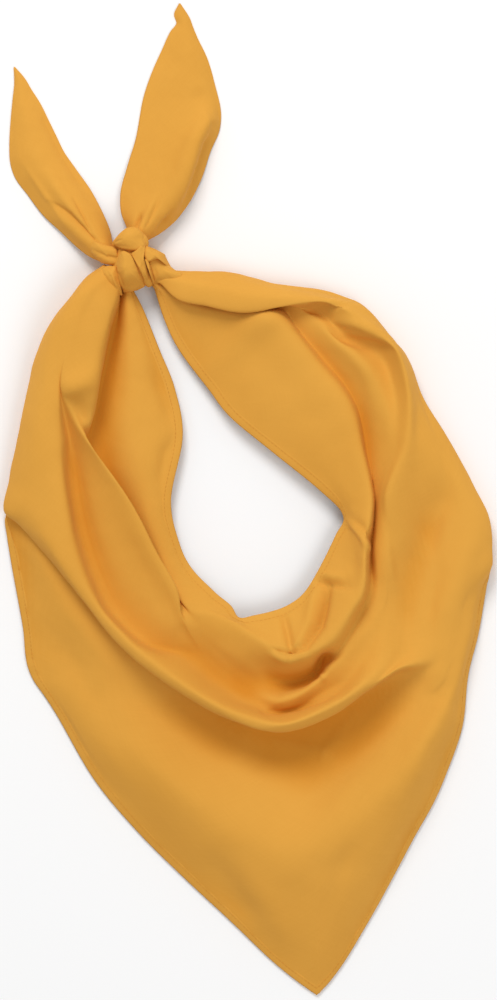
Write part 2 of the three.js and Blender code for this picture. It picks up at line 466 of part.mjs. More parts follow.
// Flat band with rounded sides swept along a wrap's route, made fatter by the given margin.
function wrapSolid(table, margin) {
  const rows = table.map((row, k) => [k, ...row]);
  const centres = [];
  const halves = [];
  for (let i = 0; i <= WRAP_STEPS; i += 1) {
    const [x, y, height, halfWidth, halfThickness] = rowAt(rows, ((table.length - 1) * i) / WRAP_STEPS);
    centres.push(knotPoint(x, y, height));
    halves.push([(halfWidth / 100) * KNOT_WIDTH + margin, (halfThickness / 100) * KNOT_HEIGHT + margin]);
  }
  const positions = [];
  centres.forEach((centre, i) => {
    const before = centres[Math.max(i - 1, 0)];
    const after = centres[Math.min(i + 1, WRAP_STEPS)];
    const tangent = after.clone().sub(before).normalize();
    const side = new THREE.Vector3(tangent.y, -tangent.x, 0).normalize();
    const up = side.clone().cross(tangent).normalize();
    // the ends close in a rounded way
    const closeness = Math.min(i, WRAP_STEPS - i) / 2;
    const taper = closeness >= 1 ? 1 : 0.55 + 0.45 * closeness;
    for (let k = 0; k < WRAP_SIDES; k += 1) {
      const angle = (2 * Math.PI * k) / WRAP_SIDES;
      const p = centre.clone()
        .addScaledVector(side, Math.cos(angle) * halves[i][0] * taper)
        .addScaledVector(up, Math.sin(angle) * halves[i][1] * taper);
      positions.push(p.x, p.y, p.z);
    }
  });
  const triangles = [];
  for (let i = 0; i < WRAP_STEPS; i += 1) {
    for (let k = 0; k < WRAP_SIDES; k += 1) {
      const next = (k + 1) % WRAP_SIDES;
      const a = i * WRAP_SIDES + k;
      const b = i * WRAP_SIDES + next;
      triangles.push(a, b, b + WRAP_SIDES, a, b + WRAP_SIDES, a + WRAP_SIDES);
    }
  }
  for (const [end, turn] of [[0, -1], [WRAP_STEPS, 1]]) {
    const centre = positions.length / 3;
    const middle = centres[end];
    positions.push(middle.x, middle.y, middle.z);
    for (let k = 0; k < WRAP_SIDES; k += 1) {
      const a = end * WRAP_SIDES + k;
      const b = end * WRAP_SIDES + ((k + 1) % WRAP_SIDES);
      triangles.push(centre, ...(turn > 0 ? [a, b] : [b, a]));
    }
  }
  const solid = solidFrom(positions, triangles);
  return solid.volume() > 0 ? solid : solidFrom(positions, triangles.reverse());
}

function knotSolid(margin) {
  const sphere = new THREE.IcosahedronGeometry(1, 2);
  const places = sphere.getAttribute("position");
  const vertices = new Map();
  const positions = [];
  const triangles = [];
  const centre = knotPoint(KNOT_CORE.x, KNOT_CORE.y, KNOT_CORE.height);
  const radii = knotPoint(KNOT_CORE.rx, KNOT_CORE.ry, KNOT_CORE.rz).addScalar(margin);
  for (let i = 0; i < places.count; i += 1) {
    const p = new THREE.Vector3().fromBufferAttribute(places, i);
    const key = p.toArray().map((value) => value.toFixed(5)).join(" ");
    if (!vertices.has(key)) {
      vertices.set(key, vertices.size);
      const placed = p.multiply(radii).add(centre);
      positions.push(placed.x, placed.y, placed.z);
    }
    triangles.push(vertices.get(key));
  }
  let knot = solidFrom(positions, triangles);
  for (const wrap of KNOT_WRAPS) knot = knot.add(wrapSolid(wrap, margin));
  return knot;
}

// Largest of the bodies that a cut leaves.
function largestBody(solid) {
  return solid.decompose().reduce((best, body) => (body.volume() > best.volume() ? body : best));
}

function meshOf(name, solid, colour) {
  const { vertProperties, triVerts } = solid.getMesh();
  const geometry = new THREE.BufferGeometry();
  geometry.setAttribute("position", new THREE.BufferAttribute(new Float32Array(vertProperties), 3));
  geometry.setIndex(new THREE.BufferAttribute(new Uint32Array(triVerts), 1));
  geometry.computeVertexNormals();
  const material = new THREE.MeshStandardMaterial({ color: colour, roughness: 0.9, metalness: 0 });
  const mesh = new THREE.Mesh(geometry, material);
  mesh.name = name;
  return mesh;
}

const knotRoom = knotSolid(CLEARANCE).translate([knotCentre.x, knotCentre.y, 0]);

function placedTail(table, length, width, height, angle, root) {
  const start = knotPoint(root.x, root.y, 0).add(knotCentre);
  return tailSolid(table, length, width, height).rotate([0, 0, angle]).translate([start.x, start.y, 0]);
}

const scarf = new THREE.Group();
const cut = (solid) => largestBody(solid.subtract(knotRoom));
scarf.add(meshOf("drape", cut(drapeSolid()), 0xe0a344));
const knot = meshOf("knot", knotSolid(0), 0xdc9c3c);
knot.position.copy(knotCentre);
scarf.add(knot);
const leftTail = placedTail(
  LEFT_TAIL, LEFT_TAIL_LENGTH, LEFT_TAIL_WIDTH, LEFT_TAIL_HEIGHT, LEFT_TAIL_ANGLE, LEFT_TAIL_ROOT,
);
scarf.add(meshOf("tail_left", cut(leftTail), 0xe0a344));
const rightTail = placedTail(
  RIGHT_TAIL, RIGHT_TAIL_LENGTH, RIGHT_TAIL_WIDTH, RIGHT_TAIL_HEIGHT, RIGHT_TAIL_ANGLE, RIGHT_TAIL_ROOT,
);
scarf.add(meshOf("tail_right", cut(rightTail), 0xe0a344));

// The origin goes under the middle of the whole scarf.
const box = new THREE.Box3().setFromObject(scarf);
const middle = box.getCenter(new THREE.Vector3());
scarf.position.set(-middle.x, -middle.y, -box.min.z);

export default scarf;
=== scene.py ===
# A triangular cotton neckerchief, tied in a small overhand knot and laid flat on a table.
#
# The CAD model gives the frame: metres, +X to the right, +Y towards the tails, +Z up from the table.
# The cloth is described by the same fold lines as the CAD model, in a finer mesh, and then gets its
# creases, hems, stitches and weave. Shapes are worked out in millimetres and turned into metres at the end.

import math

import bpy
import numpy as np
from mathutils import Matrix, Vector, noise


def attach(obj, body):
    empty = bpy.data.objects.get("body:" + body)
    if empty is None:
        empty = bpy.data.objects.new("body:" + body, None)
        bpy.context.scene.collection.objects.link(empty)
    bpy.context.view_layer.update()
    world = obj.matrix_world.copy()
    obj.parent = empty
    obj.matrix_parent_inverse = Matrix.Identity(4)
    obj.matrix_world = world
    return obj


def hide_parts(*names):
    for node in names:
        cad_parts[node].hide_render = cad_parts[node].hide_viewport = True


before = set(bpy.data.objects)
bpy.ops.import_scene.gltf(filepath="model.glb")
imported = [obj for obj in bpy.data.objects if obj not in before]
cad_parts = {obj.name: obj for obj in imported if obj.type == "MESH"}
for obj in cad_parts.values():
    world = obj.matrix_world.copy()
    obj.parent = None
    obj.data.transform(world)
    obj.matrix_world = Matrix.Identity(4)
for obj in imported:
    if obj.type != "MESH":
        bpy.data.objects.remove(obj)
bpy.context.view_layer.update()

MILLIMETRE = 0.001

# Cloth, in millimetres
CLOTH_THICKNESS = 0.5
HEM_THICKNESS = 1.3
HEM_WIDTH = 7.2
# Painted shade: in narrow and in wide valleys the cloth's colour is multiplied by a deeper orange, standing
# in for the shade and the orange light that the folds throw on each other. Heights are averaged over reach
# cells to each side, and the painted shade starts at one depth below the cloth around and grows over a
# range of depths.
PAINTED_SHADE_VALLEYS = [
    {"cell": 2.5, "reach": 5, "start": 2.5, "range": 9, "share": 0.6},
    {"cell": 5, "reach": 8, "start": 1, "range": 11, "share": 1},
]
# Colour that multiplies the cloth's colour at the bottom of the folds: painted shade
PAINTED_FOLD_SHADE = (0.9, 0.74, 0.38)

# The drape and its place under the row frame
DRAPE_WIDTH = 353
DRAPE_LENGTH = 527
DRAPE_HEIGHT = 50
DRAPE_START = (-176.54, -359.03, 0)
GRID_WIDTH = 100
GRID_LENGTH = 73.5
GRID_HEIGHT = 100

# The knot and the tails
KNOT_SIZE = (50, 46, 36)
KNOT_PLACE = (27.45, 74.1)
LEFT_TAIL_SIZE = (44.4, 154, 24)
LEFT_TAIL_ANGLE = 28
LEFT_TAIL_ROOT = (-34, 9)
RIGHT_TAIL_SIZE = (62.2, 174.7, 26)
RIGHT_TAIL_ANGLE = -10
RIGHT_TAIL_ROOT = (-1, 31)
LEFT_BAND_END = (-20, -20, 45)
RIGHT_BAND_END = (12, -25, 45)
# Shares of the hem's place and of the crest's place in the middle of the inner band
INNER_BAND_SHARES = (0.45, 0.55)
# How far the middle of the inner band stands above a straight line from its hem to its crest:
# [station, share of the drape's height]
INNER_BAND_BULGE = [[0, 4], [8, 4], [10, 0], [16, 2], [18, 5], [20, 5], [22, 4], [25, 4]]

# Fold lines of the drape, from the hem round the neck to the hem of the hanging point. Each row is
# [station along the loop, across from the left, up from the point, height above the table], where the
# drape's width counts as 100, its length as 73.5 and its height as 100.
FOLDS = {
    "neck_hem": [
        [0, 26.5, 71.2, 20], [1, 28.8, 69, 18], [2, 31.9, 65.2, 14], [3, 35.1, 61.2, 12],
        [4, 36.7, 56.4, 16], [5, 34.3, 50, 18], [6, 36.1, 45.5, 14], [8, 43.1, 40.8, 20],
        [9, 46.5, 39.4, 26], [10, 48.2, 38.2, 34], [11, 51.2, 38.4, 34], [13, 58.8, 39.6, 28],
        [14, 61.7, 40.8, 28], [15, 64.7, 43.2, 26], [16, 67.9, 46.4, 24], [17, 69.5, 48.5, 24],
        [18, 64.4, 51.1, 26], [19, 55.1, 54.8, 24], [20, 46.5, 58.3, 22], [21, 42.2, 61, 18],
        [23, 34.9, 66, 16], [24, 32.7, 68.5, 18], [25, 31, 71.2, 24],
    ],
    "collar_crest": [
        [0, 25.3, 71, 28], [1, 25.5, 68.5, 30], [3, 26.1, 60.9, 30], [4, 26.5, 56, 30],
        [5, 28.8, 49.5, 30], [6, 32, 44.8, 30], [8, 38.2, 39, 42], [9, 42.7, 38.5, 46],
        [10, 47.1, 37.7, 52], [11, 51.8, 36.1, 58], [12, 57.1, 34.5, 64], [13, 62.4, 34.7, 66],
        [14, 66.9, 36, 68], [15, 71.2, 39.1, 70], [16, 73.5, 41.2, 70], [17, 74.1, 46, 68],
        [17.5, 75.1, 50.1, 56], [18, 73.3, 54.7, 48], [19, 70.2, 59.8, 46], [20, 63.9, 63.7, 47],
        [21, 57.8, 67.3, 50], [21.5, 54.2, 68.6, 50], [22, 50.8, 69.5, 36], [23, 43.5, 70, 26],
        [25, 31.8, 71.6, 32],
    ],
    "collar_drop": [
        [0, 24.1, 71.1, 16], [1, 23.3, 68.3, 16], [2, 21.6, 64.9, 15], [3, 19.6, 60.8, 15],
        [4, 18.4, 56, 15], [5, 23.9, 49.6, 15], [6, 29.2, 44.5, 15], [7, 33.9, 41.9, 14],
        [8, 37.8, 38.7, 40], [9, 41.6, 36.7, 40], [10, 45.9, 35.1, 42], [11, 50.8, 33.5, 38],
        [12, 57.1, 31.7, 18], [13, 63.3, 32.7, 20], [13.5, 65.3, 34.2, 24], [14, 68.2, 34.8, 44],
        [15, 73.1, 38.7, 42], [16, 75.1, 41.1, 40], [17, 75.3, 45.5, 30], [17.5, 75.9, 50, 34],
        [18, 74.3, 55, 25], [19, 71.4, 60.3, 25], [20, 65.1, 64.3, 27], [21, 58.8, 67.8, 28],
        [21.5, 56.2, 69.2, 22], [22, 52.9, 70.2, 17], [23, 45.1, 71.1, 14], [25, 33.1, 72.2, 20],
    ],
    "first_edge": [
        [0, 23.7, 71.3, 44], [1, 22.4, 68.9, 56], [2, 19.8, 64.9, 60], [2.7, 19.2, 62.1, 60],
        [3, 18.8, 60.7, 57], [3.3, 18.2, 59.2, 50], [3.7, 17.6, 57.6, 44], [4.2, 15.3, 55.5, 26],
        [5, 21, 49.4, 20], [6, 27.4, 44.1, 20], [7, 31.6, 42.5, 22], [8, 37, 38.4, 42],
        [9, 40.8, 35.9, 34], [10, 45.3, 33.9, 32], [11, 50.4, 32.1, 26], [12, 57.3, 30.9, 28],
        [13, 64.1, 32, 24], [13.5, 65.9, 33.5, 30], [14, 68.8, 34.6, 46], [15, 74.3, 38.4, 44],
        [16, 76.5, 40.8, 43], [17, 76.1, 45.5, 44], [17.5, 76.3, 50.1, 38], [18, 74.9, 55.1, 26],
        [19, 72, 60.5, 26], [20, 65.5, 64.5, 27], [21, 59.2, 68, 29], [21.5, 57.4, 69.7, 26],
        [22, 54.1, 70.7, 20], [23, 46.1, 71.7, 16], [25, 33.7, 72.5, 22],
    ],
    "second_edge": [
        [0, 21.8, 72, 50], [1, 18.6, 70.2, 64], [2, 14.7, 65.9, 68], [3, 12.2, 60.9, 66],
        [3.5, 14.5, 58.6, 56], [4, 16.9, 56.4, 58], [5, 25.9, 50, 58], [6, 31, 45.2, 56],
        [7, 35.5, 41.1, 54], [8, 36.6, 38.1, 46], [9, 40, 35.2, 29], [10, 44.7, 32.7, 27],
        [11, 50.2, 30.9, 26], [12, 57.3, 29.9, 46], [13, 65.3, 32.2, 44], [13.5, 67.1, 33.3, 47],
        [14, 69.4, 34.3, 49], [15, 75.7, 37.9, 45], [16, 78.2, 40.5, 42], [17, 77.1, 45.5, 50],
        [17.5, 76.7, 50.2, 44], [18, 78.4, 55.4, 44], [19, 75.9, 62, 46], [20, 68.6, 65.8, 46],
        [21, 61.4, 69, 35], [21.5, 57.6, 69.9, 32], [22, 53.7, 70.9, 26], [23, 45.5, 71.7, 26],
        [25, 33.5, 72.4, 28],
    ],
    "second_valley": [
        [0, 21.4, 72.4, 50], [1, 17.3, 70.6, 66], [2, 13.5, 66.3, 68], [3, 12, 61, 63],
        [4, 13.7, 56, 34], [5, 15.1, 49.7, 30], [6, 18, 44, 30], [7, 22.9, 39, 30], [8, 30, 35.6, 30],
        [9, 37.8, 34.3, 27], [10, 43.9, 31.7, 30], [11, 50, 29.7, 38], [12, 58, 28.8, 36],
        [13, 66.3, 30.9, 38], [14, 70.8, 32.4, 46], [15, 77.1, 36.9, 46], [16, 79.8, 40, 40],
        [17, 78.4, 45.4, 52], [17.5, 77.3, 50.3, 52], [18, 80, 55.5, 52], [19, 78.4, 63.5, 36],
        [20, 70.6, 66.3, 36], [21, 63.1, 69.1, 33], [21.5, 57, 69.6, 50], [22, 51.6, 70, 44],
        [23, 43.3, 70.5, 38], [25, 32.9, 72, 34],
    ],
    "roll_top": [
        [0, 21, 72.8, 48], [1, 16.1, 70.8, 64], [2, 12, 66.6, 66], [3, 11.4, 61, 66], [4, 11.6, 56, 62],
        [5, 12.4, 50.5, 64], [6, 15.1, 44.4, 68], [7, 19.2, 39.8, 72], [8, 24.7, 36.5, 76],
        [9, 31, 33.8, 78], [10, 41.8, 30.1, 82], [11, 50.6, 28.2, 84], [12, 58, 27.7, 82],
        [13, 67.1, 29.5, 78], [14, 72.7, 31.4, 74], [15, 78.8, 34.3, 56], [16, 82.7, 38.8, 38],
        [17, 80.2, 45.2, 46], [17.5, 78.4, 50.4, 62], [18, 82.2, 55.4, 64], [18.5, 82.9, 59.7, 62],
        [19, 81, 64.3, 62], [19.5, 76.9, 66.6, 60], [20, 73.3, 67.9, 56], [21, 64.9, 69.8, 58],
        [22, 49.8, 68.8, 58], [23, 41, 69.5, 52], [24, 35.7, 70.1, 46], [25, 32.2, 71.7, 40],
    ],
    "shoulder": [
        [0, 20.8, 73.2, 44], [0.5, 17.4, 72.2, 50], [1, 15.1, 70.9, 54], [2, 10, 66.6, 56],
        [3, 8.4, 61.1, 60], [4, 7.1, 56.2, 60], [5, 5.9, 50, 54], [6, 11.2, 44.4, 68],
        [7, 17.3, 39.9, 70], [8, 23.3, 36.4, 74], [9, 29.8, 33.5, 76], [10, 41.6, 29.6, 80],
        [12, 58, 27.2, 78], [13, 67.3, 29, 74], [14, 73.5, 31.1, 72], [15, 79.8, 33.5, 56],
        [16, 85.5, 37.1, 37], [17, 87.6, 43.8, 34], [17.5, 85.9, 48.6, 37], [18, 84.7, 54.8, 55],
        [18.5, 84.3, 59.8, 46], [19, 81.8, 64.2, 52], [20, 74.3, 68.4, 46], [21, 65.9, 70.2, 54],
        [22, 52.9, 70.2, 62], [23, 43.7, 71.1, 58], [25, 33.5, 72.2, 46],
    ],
    "roll_edge": [
        [0, 20.6, 73.6, 28], [0.5, 17, 72.3, 28], [1, 14.2, 70.5, 28], [2, 8.2, 66.4, 26],
        [3, 5.1, 61.1, 26], [4, 3, 56.2, 26], [4.7, 1.2, 51.8, 22], [5, 0.2, 49, 24],
        [5.3, 3.1, 47.7, 27], [6, 9.2, 44.4, 44], [7, 16.3, 40.1, 62], [8, 22.4, 36.3, 66],
        [9, 29.2, 33.2, 68], [10, 41.6, 29.1, 70], [11, 50.6, 27.4, 70], [12, 58, 26.8, 68],
        [13, 67.6, 28.6, 66], [14, 74.1, 30.9, 64], [15, 80.2, 33, 62], [16, 88, 35.1, 40],
        [16.5, 89.6, 38.5, 40], [17, 91.4, 42.6, 40], [17.5, 90.8, 48.2, 40], [18, 89.2, 54, 43],
        [18.5, 85, 59.9, 37], [19, 82.5, 64.1, 38], [19.5, 78.8, 66.5, 38], [20, 75, 68.8, 38],
        [21, 66.9, 70.4, 42], [22, 54.7, 71.1, 52], [23, 45.5, 72, 48], [25, 34.1, 72.7, 40],
    ],
    "roll_under": [
        [0, 21, 73.2, 14], [1, 15.3, 70, 10], [2, 9.4, 66.1, 8], [3, 6.5, 61, 8], [4, 4.3, 56.1, 8],
        [4.7, 2.2, 51.6, 10], [5, 0.8, 49.3, 14], [5.3, 3.7, 47.6, 20], [6, 10, 44, 37],
        [7, 17.1, 40, 46], [8, 23.3, 36.4, 46], [9, 30, 33.2, 40], [10, 41.8, 29.2, 32],
        [12, 58, 27, 30], [13, 68, 28.6, 30], [14, 74.7, 30.7, 32], [15, 81.2, 32.5, 34],
        [16, 89.4, 34.2, 39], [16.5, 91.6, 38, 40], [17, 94.1, 42, 41], [17.5, 96.9, 47.5, 40],
        [18, 89.8, 54.9, 38], [18.5, 85.3, 60, 30], [19, 82.8, 64, 30], [19.5, 79.2, 66.4, 30],
        [20, 75.4, 68.7, 30], [21, 67.3, 70.5, 34], [22, 55.5, 71.4, 42], [23, 46.1, 72.6, 38],
        [25, 34.3, 72.9, 34],
    ],
    "apron_valley": [
        [0, 21.6, 72.8, 1.2], [1, 16.3, 69.8, 1.2], [2, 10.6, 65.9, 1.2], [3, 8, 60.9, 1.2],
        [4, 5.7, 56, 1.2], [4.7, 2.4, 51.3, 5], [4.85, 1.2, 50.1, 7], [5, 1, 49.3, 10],
        [5.15, 1.8, 48.8, 14], [5.3, 3.3, 47.8, 16], [6, 7.6, 43.9, 29], [7, 12.9, 39, 38],
        [8, 18.6, 35.1, 38], [9, 25.5, 31.2, 32], [10, 39.8, 26.6, 22], [11, 50.8, 25.1, 22],
        [12, 60.6, 24.2, 20], [13, 71.2, 25.7, 20], [14, 78.6, 28, 22], [15, 84.7, 30.3, 26],
        [16, 90.6, 32.7, 35], [16.5, 93.5, 37.3, 35], [17, 96.5, 41.6, 32], [17.1, 99, 43, 28],
        [17.3, 99.8, 45.2, 24], [17.5, 99.4, 47.9, 24], [17.75, 95.9, 51.7, 22], [18, 91, 56, 22],
        [18.5, 85.7, 60.3, 22], [19, 82.9, 63.8, 22], [19.5, 79.4, 66.2, 22], [20, 75.6, 68.5, 22],
        [20.5, 72.8, 69.8, 24], [21, 67.6, 70.8, 26], [22, 55.9, 71.7, 28], [23, 46.3, 72.9, 26],
        [24, 39.8, 72.9, 26], [25, 34.5, 73.1, 26],
    ],
    "apron_crest": [
        [0, 22.4, 72.4, 1.2], [1, 17.8, 69.5, 1.2], [2, 12.9, 65.5, 1.2], [3, 10, 60.8, 1.2],
        [4, 7.8, 56, 1.2], [4.7, 3.5, 50.7, 4], [4.85, 1.5, 49.5, 5], [5, 0.8, 48.8, 6],
        [5.15, 1, 48.3, 8], [5.3, 1.8, 47.3, 9], [6, 4.9, 43.6, 15], [7, 8, 38.1, 20],
        [8, 12.4, 33.5, 26], [9, 18.8, 29.1, 38], [10, 35.7, 20.9, 52], [11, 50.4, 15.9, 58],
        [12, 63.1, 14.4, 60], [13, 73.3, 16.9, 56], [14, 81.4, 21.1, 52], [15, 86.7, 25.7, 46],
        [15.5, 90.4, 28.9, 40], [16, 92.9, 32.3, 30], [16.5, 95.1, 36.6, 28], [17, 97.9, 41.7, 19],
        [17.1, 99.4, 42.7, 13], [17.3, 98.8, 45, 8], [17.5, 98.4, 46.8, 6], [18, 90, 55.7, 6],
        [18.5, 84.7, 60, 6], [19, 81.8, 63.8, 6], [19.5, 78.4, 65.8, 6], [20, 74.3, 68, 6],
        [21, 66.9, 70.2, 6], [22, 55.3, 71.2, 6], [23, 45.9, 72.5, 6], [24, 39.4, 72.5, 8],
        [25, 34.3, 72.9, 10],
    ],
    "outer_hem": [
        [0, 23.9, 71.7, 1.2], [1, 20.4, 68.9, 1.2], [2, 17.3, 64.9, 1.2], [3, 14.1, 60.6, 1.2],
        [4, 11.2, 55.9, 1.2], [4.5, 8.2, 52.6, 2], [4.7, 4.7, 50.1, 2.4], [4.85, 2, 48.8, 2.4],
        [5, 0.6, 48.3, 2.4], [5.15, 0.3, 47.7, 2.4], [5.3, 0.6, 46.7, 2.4], [6, 1.6, 43.6, 2.4],
        [7, 3.9, 37.4, 2.4], [8, 5.3, 32.7, 2.4], [9, 11.3, 28, 2.4], [9.5, 18.6, 21.8, 2.4],
        [10, 27.4, 16.6, 2.4], [10.5, 37, 11.9, 2.4], [11, 46.6, 7.5, 2.4], [11.5, 56, 3.1, 2.4],
        [11.9, 62.6, 0.6, 2.4], [12, 64.1, 0.1, 2.4], [12.1, 65.2, 0.6, 2.4], [12.5, 69, 2.9, 2.4],
        [13, 74.1, 7, 2.4], [14, 83.3, 15.3, 2.4], [15, 90.3, 22, 2.4], [15.5, 93.9, 27.1, 2.4],
        [16, 95.1, 32.3, 2.4], [16.5, 97.2, 36.5, 2.4], [17, 99, 41.6, 2.4], [17.1, 99.3, 42.4, 1.2],
        [17.3, 97, 44.6, 1.2], [17.5, 95.3, 46.4, 1.2], [18, 86.7, 54.7, 1.2], [18.5, 81.4, 59, 1.2],
        [19, 78.6, 62.8, 1.2], [20, 71.4, 66.6, 1.2], [21, 64.5, 68.6, 1.2], [22, 52.9, 69.8, 1.2],
        [23, 43.7, 71, 1.2], [25, 33.1, 72.1, 4],
    ],
}
LEFT_TAIL = [
    [-6, -4, 2, 8, 62, 86], [0, -24, -8, 5, 52, 88], [5, -37, -12, 7, 38, 84],
    [10, -45, -16, 12, 26, 78], [21, -58, -22, 16, 12, 66], [32, -71, -28, 16, 6, 54],
    [44, -78, -34, 11, 2, 46], [55, -83, -38, 7, 0, 40], [61, -79, -37, 8, 0, 36],
    [69, -66, -30, 9, 0, 30], [80, -43, -18, 10, 0, 22], [87, -27, -10, 8, 0, 16],
    [93, -13, -3, 7, 0, 10], [100, -1, 0, 1.5, 0, 2],
]
RIGHT_TAIL = [
    [-8, -8, 0, 8, 56, 86], [0, -9, 0, 10, 48, 88], [4, -13, 3, 23, 36, 86], [10, -23, 12, 38, 22, 78],
    [17, -28, 22, 49, 12, 68], [30, -26, 38, 61, 5, 58], [42, -22, 46, 66, 2, 48],
    [52, -22, 52, 72, 0, 38], [57, -22, 48, 71, 0, 31], [70, -17, 28, 57, 0, 24],
    [80, -10, 20, 43, 0, 20], [88, -4, 13, 27, 0, 14], [92, 1, 11, 20, 0, 10], [94.5, -3, 7, 16, 0, 8],
    [100, 0, 1, 2, 0, 2],
]
KNOT_WRAPS = {
    "cap": [
        [-36, 20, 34, 7, 12], [-27, 27, 58, 11, 14], [-10, 33, 80, 14, 17], [4, 30, 78, 13, 17],
        [9, 16, 60, 8, 15],
    ],
    "front": [
        [-15, 18, 64, 9, 16], [-13, -2, 80, 15, 18], [-11, -22, 80, 19, 18], [-9, -37, 68, 17, 17],
        [-6, -45, 48, 12, 15],
    ],
    "strap": [
        [-2, 18, 76, 9, 16], [2, 0, 84, 9, 17], [8, -17, 76, 8, 17], [15, -33, 60, 7, 16],
        [19, -41, 42, 6, 14],
    ],
    "thin_strap": [
        [12, 10, 68, 5, 13], [17, -8, 68, 4.5, 14], [20, -22, 60, 4, 14], [24, -36, 44, 4, 12],
    ],
    "loop": [
        [9, 16, 60, 7, 15], [21, 12, 66, 7, 15], [33, 4, 62, 7, 15], [41, -6, 52, 7, 14],
        [46, -18, 38, 7, 12],
    ],
    "flap": [
        [13, -12, 46, 9, 14], [27, -15, 52, 12, 14], [37, -22, 46, 13, 14], [47, -28, 34, 10, 13],
    ],
}

# Order of the fold lines from the neck outward, with the steps of the mesh to the next one
ACROSS = [
    ("neck_hem", 4), ("neck_hem_line", 8), ("inner_mid", 8), ("collar_crest", 7), ("collar_drop", 4),
    ("first_edge", 9), ("second_edge", 9), ("second_valley", 10), ("roll_top", 6), ("shoulder", 7),
    ("roll_edge", 5), ("roll_under", 8), ("apron_valley", 13), ("apron_crest", 15), ("hem_line", 4),
    ("outer_hem", 0),
]
LAST_STATION = 25
# Stations that the mesh passes through exactly, because the outline has a corner there
CORNER_STATIONS = [3.7, 4.7, 4.85, 5, 5.15, 5.3, 11.9, 12, 12.1, 17, 17.1, 17.3, 17.5]
# How closely the mesh's stations follow each other: [station, relative closeness]
CLOSENESS = [
    [0, 1.4], [1, 1.0], [3, 1.0], [4.5, 1.5], [5.5, 1.5], [7, 0.9], [10, 0.8], [12, 1.2], [12.7, 2.2],
    [15.4, 2.2], [16, 1.3], [17.5, 1.9], [18.5, 1.2], [21, 1.0], [23, 0.8], [24, 1.0], [25, 1.6],
]
STATION_COUNT = 400
# How far apart the noise of two seeds lies, and how it goes on from one octave to the next
NOISE_SHIFT = 7.31
NOISE_DECAY = 0.9
NOISE_FREQUENCY_STEP = 2.0
# Share of the way into the knot of the rows beyond the first and the last station
GATHER_SHARES = [0.12, 0.25, 0.4, 0.55, 0.7, 0.82]


def smooth_rows(knots, values, at):
    """Smooth curve through values at knots, one tangent at each knot, for every column at once."""
    knots = np.asarray(knots, float)
    values = np.asarray(values, float)
    at = np.asarray(at, float)
    span = np.diff(knots)
    slope = np.diff(values, axis=0) / span[:, None]
    tangent = np.empty_like(values)
    tangent[0] = slope[0]
    tangent[-1] = slope[-1]
    before = span[:-1, None]
    after = span[1:, None]
    tangent[1:-1] = (slope[:-1] * after + slope[1:] * before) / (before + after)
    k = np.clip(np.searchsorted(knots, at, side="right") - 1, 0, len(span) - 1)
    h = span[k][:, None]
    s = ((at - knots[k]) / span[k])[:, None]
    start = (1 + 2 * s) * (1 - s) ** 2
    end = s * s * (3 - 2 * s)
    leave = s * (1 - s) ** 2 * h
    arrive = s * s * (s - 1) * h
    return start * values[k] + end * values[k + 1] + leave * tangent[k] + arrive * tangent[k + 1]


def smooth_through(points, steps):
    """Smooth curve through points, with that many steps in each gap."""
    gaps = np.sqrt(np.maximum(np.linalg.norm(np.diff(points, axis=0), axis=1), 0.04))
    knots = np.concatenate([[0], np.cumsum(gaps)])
    at = [knots[j] + gaps[j] * np.arange(n) / n for j, n in enumerate(steps)]
    return smooth_rows(knots, points, np.concatenate([*at, [knots[-1]]]))


def drape_point(across, up, height):
    """Place in the row frame, in millimetres, of a point of the drape's grid."""
    return np.stack([
        across / GRID_WIDTH * DRAPE_WIDTH + DRAPE_START[0],
        up / GRID_LENGTH * DRAPE_LENGTH + DRAPE_START[1],
        height / GRID_HEIGHT * DRAPE_HEIGHT + DRAPE_START[2],
    ], axis=-1)


def fold_line(name, stations):
    """Points of a fold line at the given stations."""
    rows = np.array(FOLDS[name])
    found = smooth_rows(rows[:, 0], rows[:, 1:], stations)
    return drape_point(found[:, 0], found[:, 1], found[:, 2])


def inside_hem(edge, towards):
    """Points a hem's width inside the edge, or halfway to the next fold line where that is nearer."""
    away = np.linalg.norm(towards - edge, axis=1)
    share = np.minimum(HEM_WIDTH / away, 0.5)[:, None]
    return edge + (towards - edge) * share


KNOT_CENTRE = drape_point(*KNOT_PLACE, 0)


def knot_point(x, y, height):
    """Place in the row frame, in millimetres, of a point given in the knot's own percents."""
    return KNOT_CENTRE + np.array([x, y, height]) * KNOT_SIZE / 100


def drape_grid(stations, steps):
    """Points of the drape's middle surface: one row for each station, columns from neck to outer hem."""
    lines = {name: fold_line(name, stations) for name in FOLDS}
    middle = lines["neck_hem"] * INNER_BAND_SHARES[0] + lines["collar_crest"] * INNER_BAND_SHARES[1]
    bulge = np.array(INNER_BAND_BULGE)
    middle[:, 2] += np.interp(stations, bulge[:, 0], bulge[:, 1]) / GRID_HEIGHT * DRAPE_HEIGHT
    lines["inner_mid"] = middle
    lines["neck_hem_line"] = inside_hem(lines["neck_hem"], middle)
    lines["hem_line"] = inside_hem(lines["outer_hem"], lines["apron_crest"])
    stacked = np.stack([lines[name] for name, _ in ACROSS], axis=1)
    return np.stack([smooth_through(points, steps) for points in stacked])


def even_stations():
    """Stations of the mesh, closer together where the cloth turns quickly."""
    table = np.array(CLOSENESS)
    fine = np.linspace(0, LAST_STATION, 5 * STATION_COUNT + 1)
    density = np.interp(fine, table[:, 0], table[:, 1])
    grown = np.concatenate([[0], np.cumsum((density[1:] + density[:-1]) / 2)])
    stations = np.interp(np.linspace(0, grown[-1], STATION_COUNT), grown, fine)
    for corner in CORNER_STATIONS:
        stations[np.argmin(np.abs(stations - corner))] = corner
    return stations


def column_of(name):
    """Column of the drape's grid where a fold line lies."""
    count = 0
    for line, steps in ACROSS:
        if line == name:
            return count
        count += steps
    raise ValueError(name)


def normals_of(grid):
    """Normals of a grid of points. They point up where the columns lie on the left of the rows' course."""
    along = np.gradient(grid, axis=0)
    across = np.gradient(grid, axis=1)
    normal = np.cross(along, across)
    size = np.linalg.norm(normal, axis=2, keepdims=True)
    return normal / np.maximum(size, 1e-9)


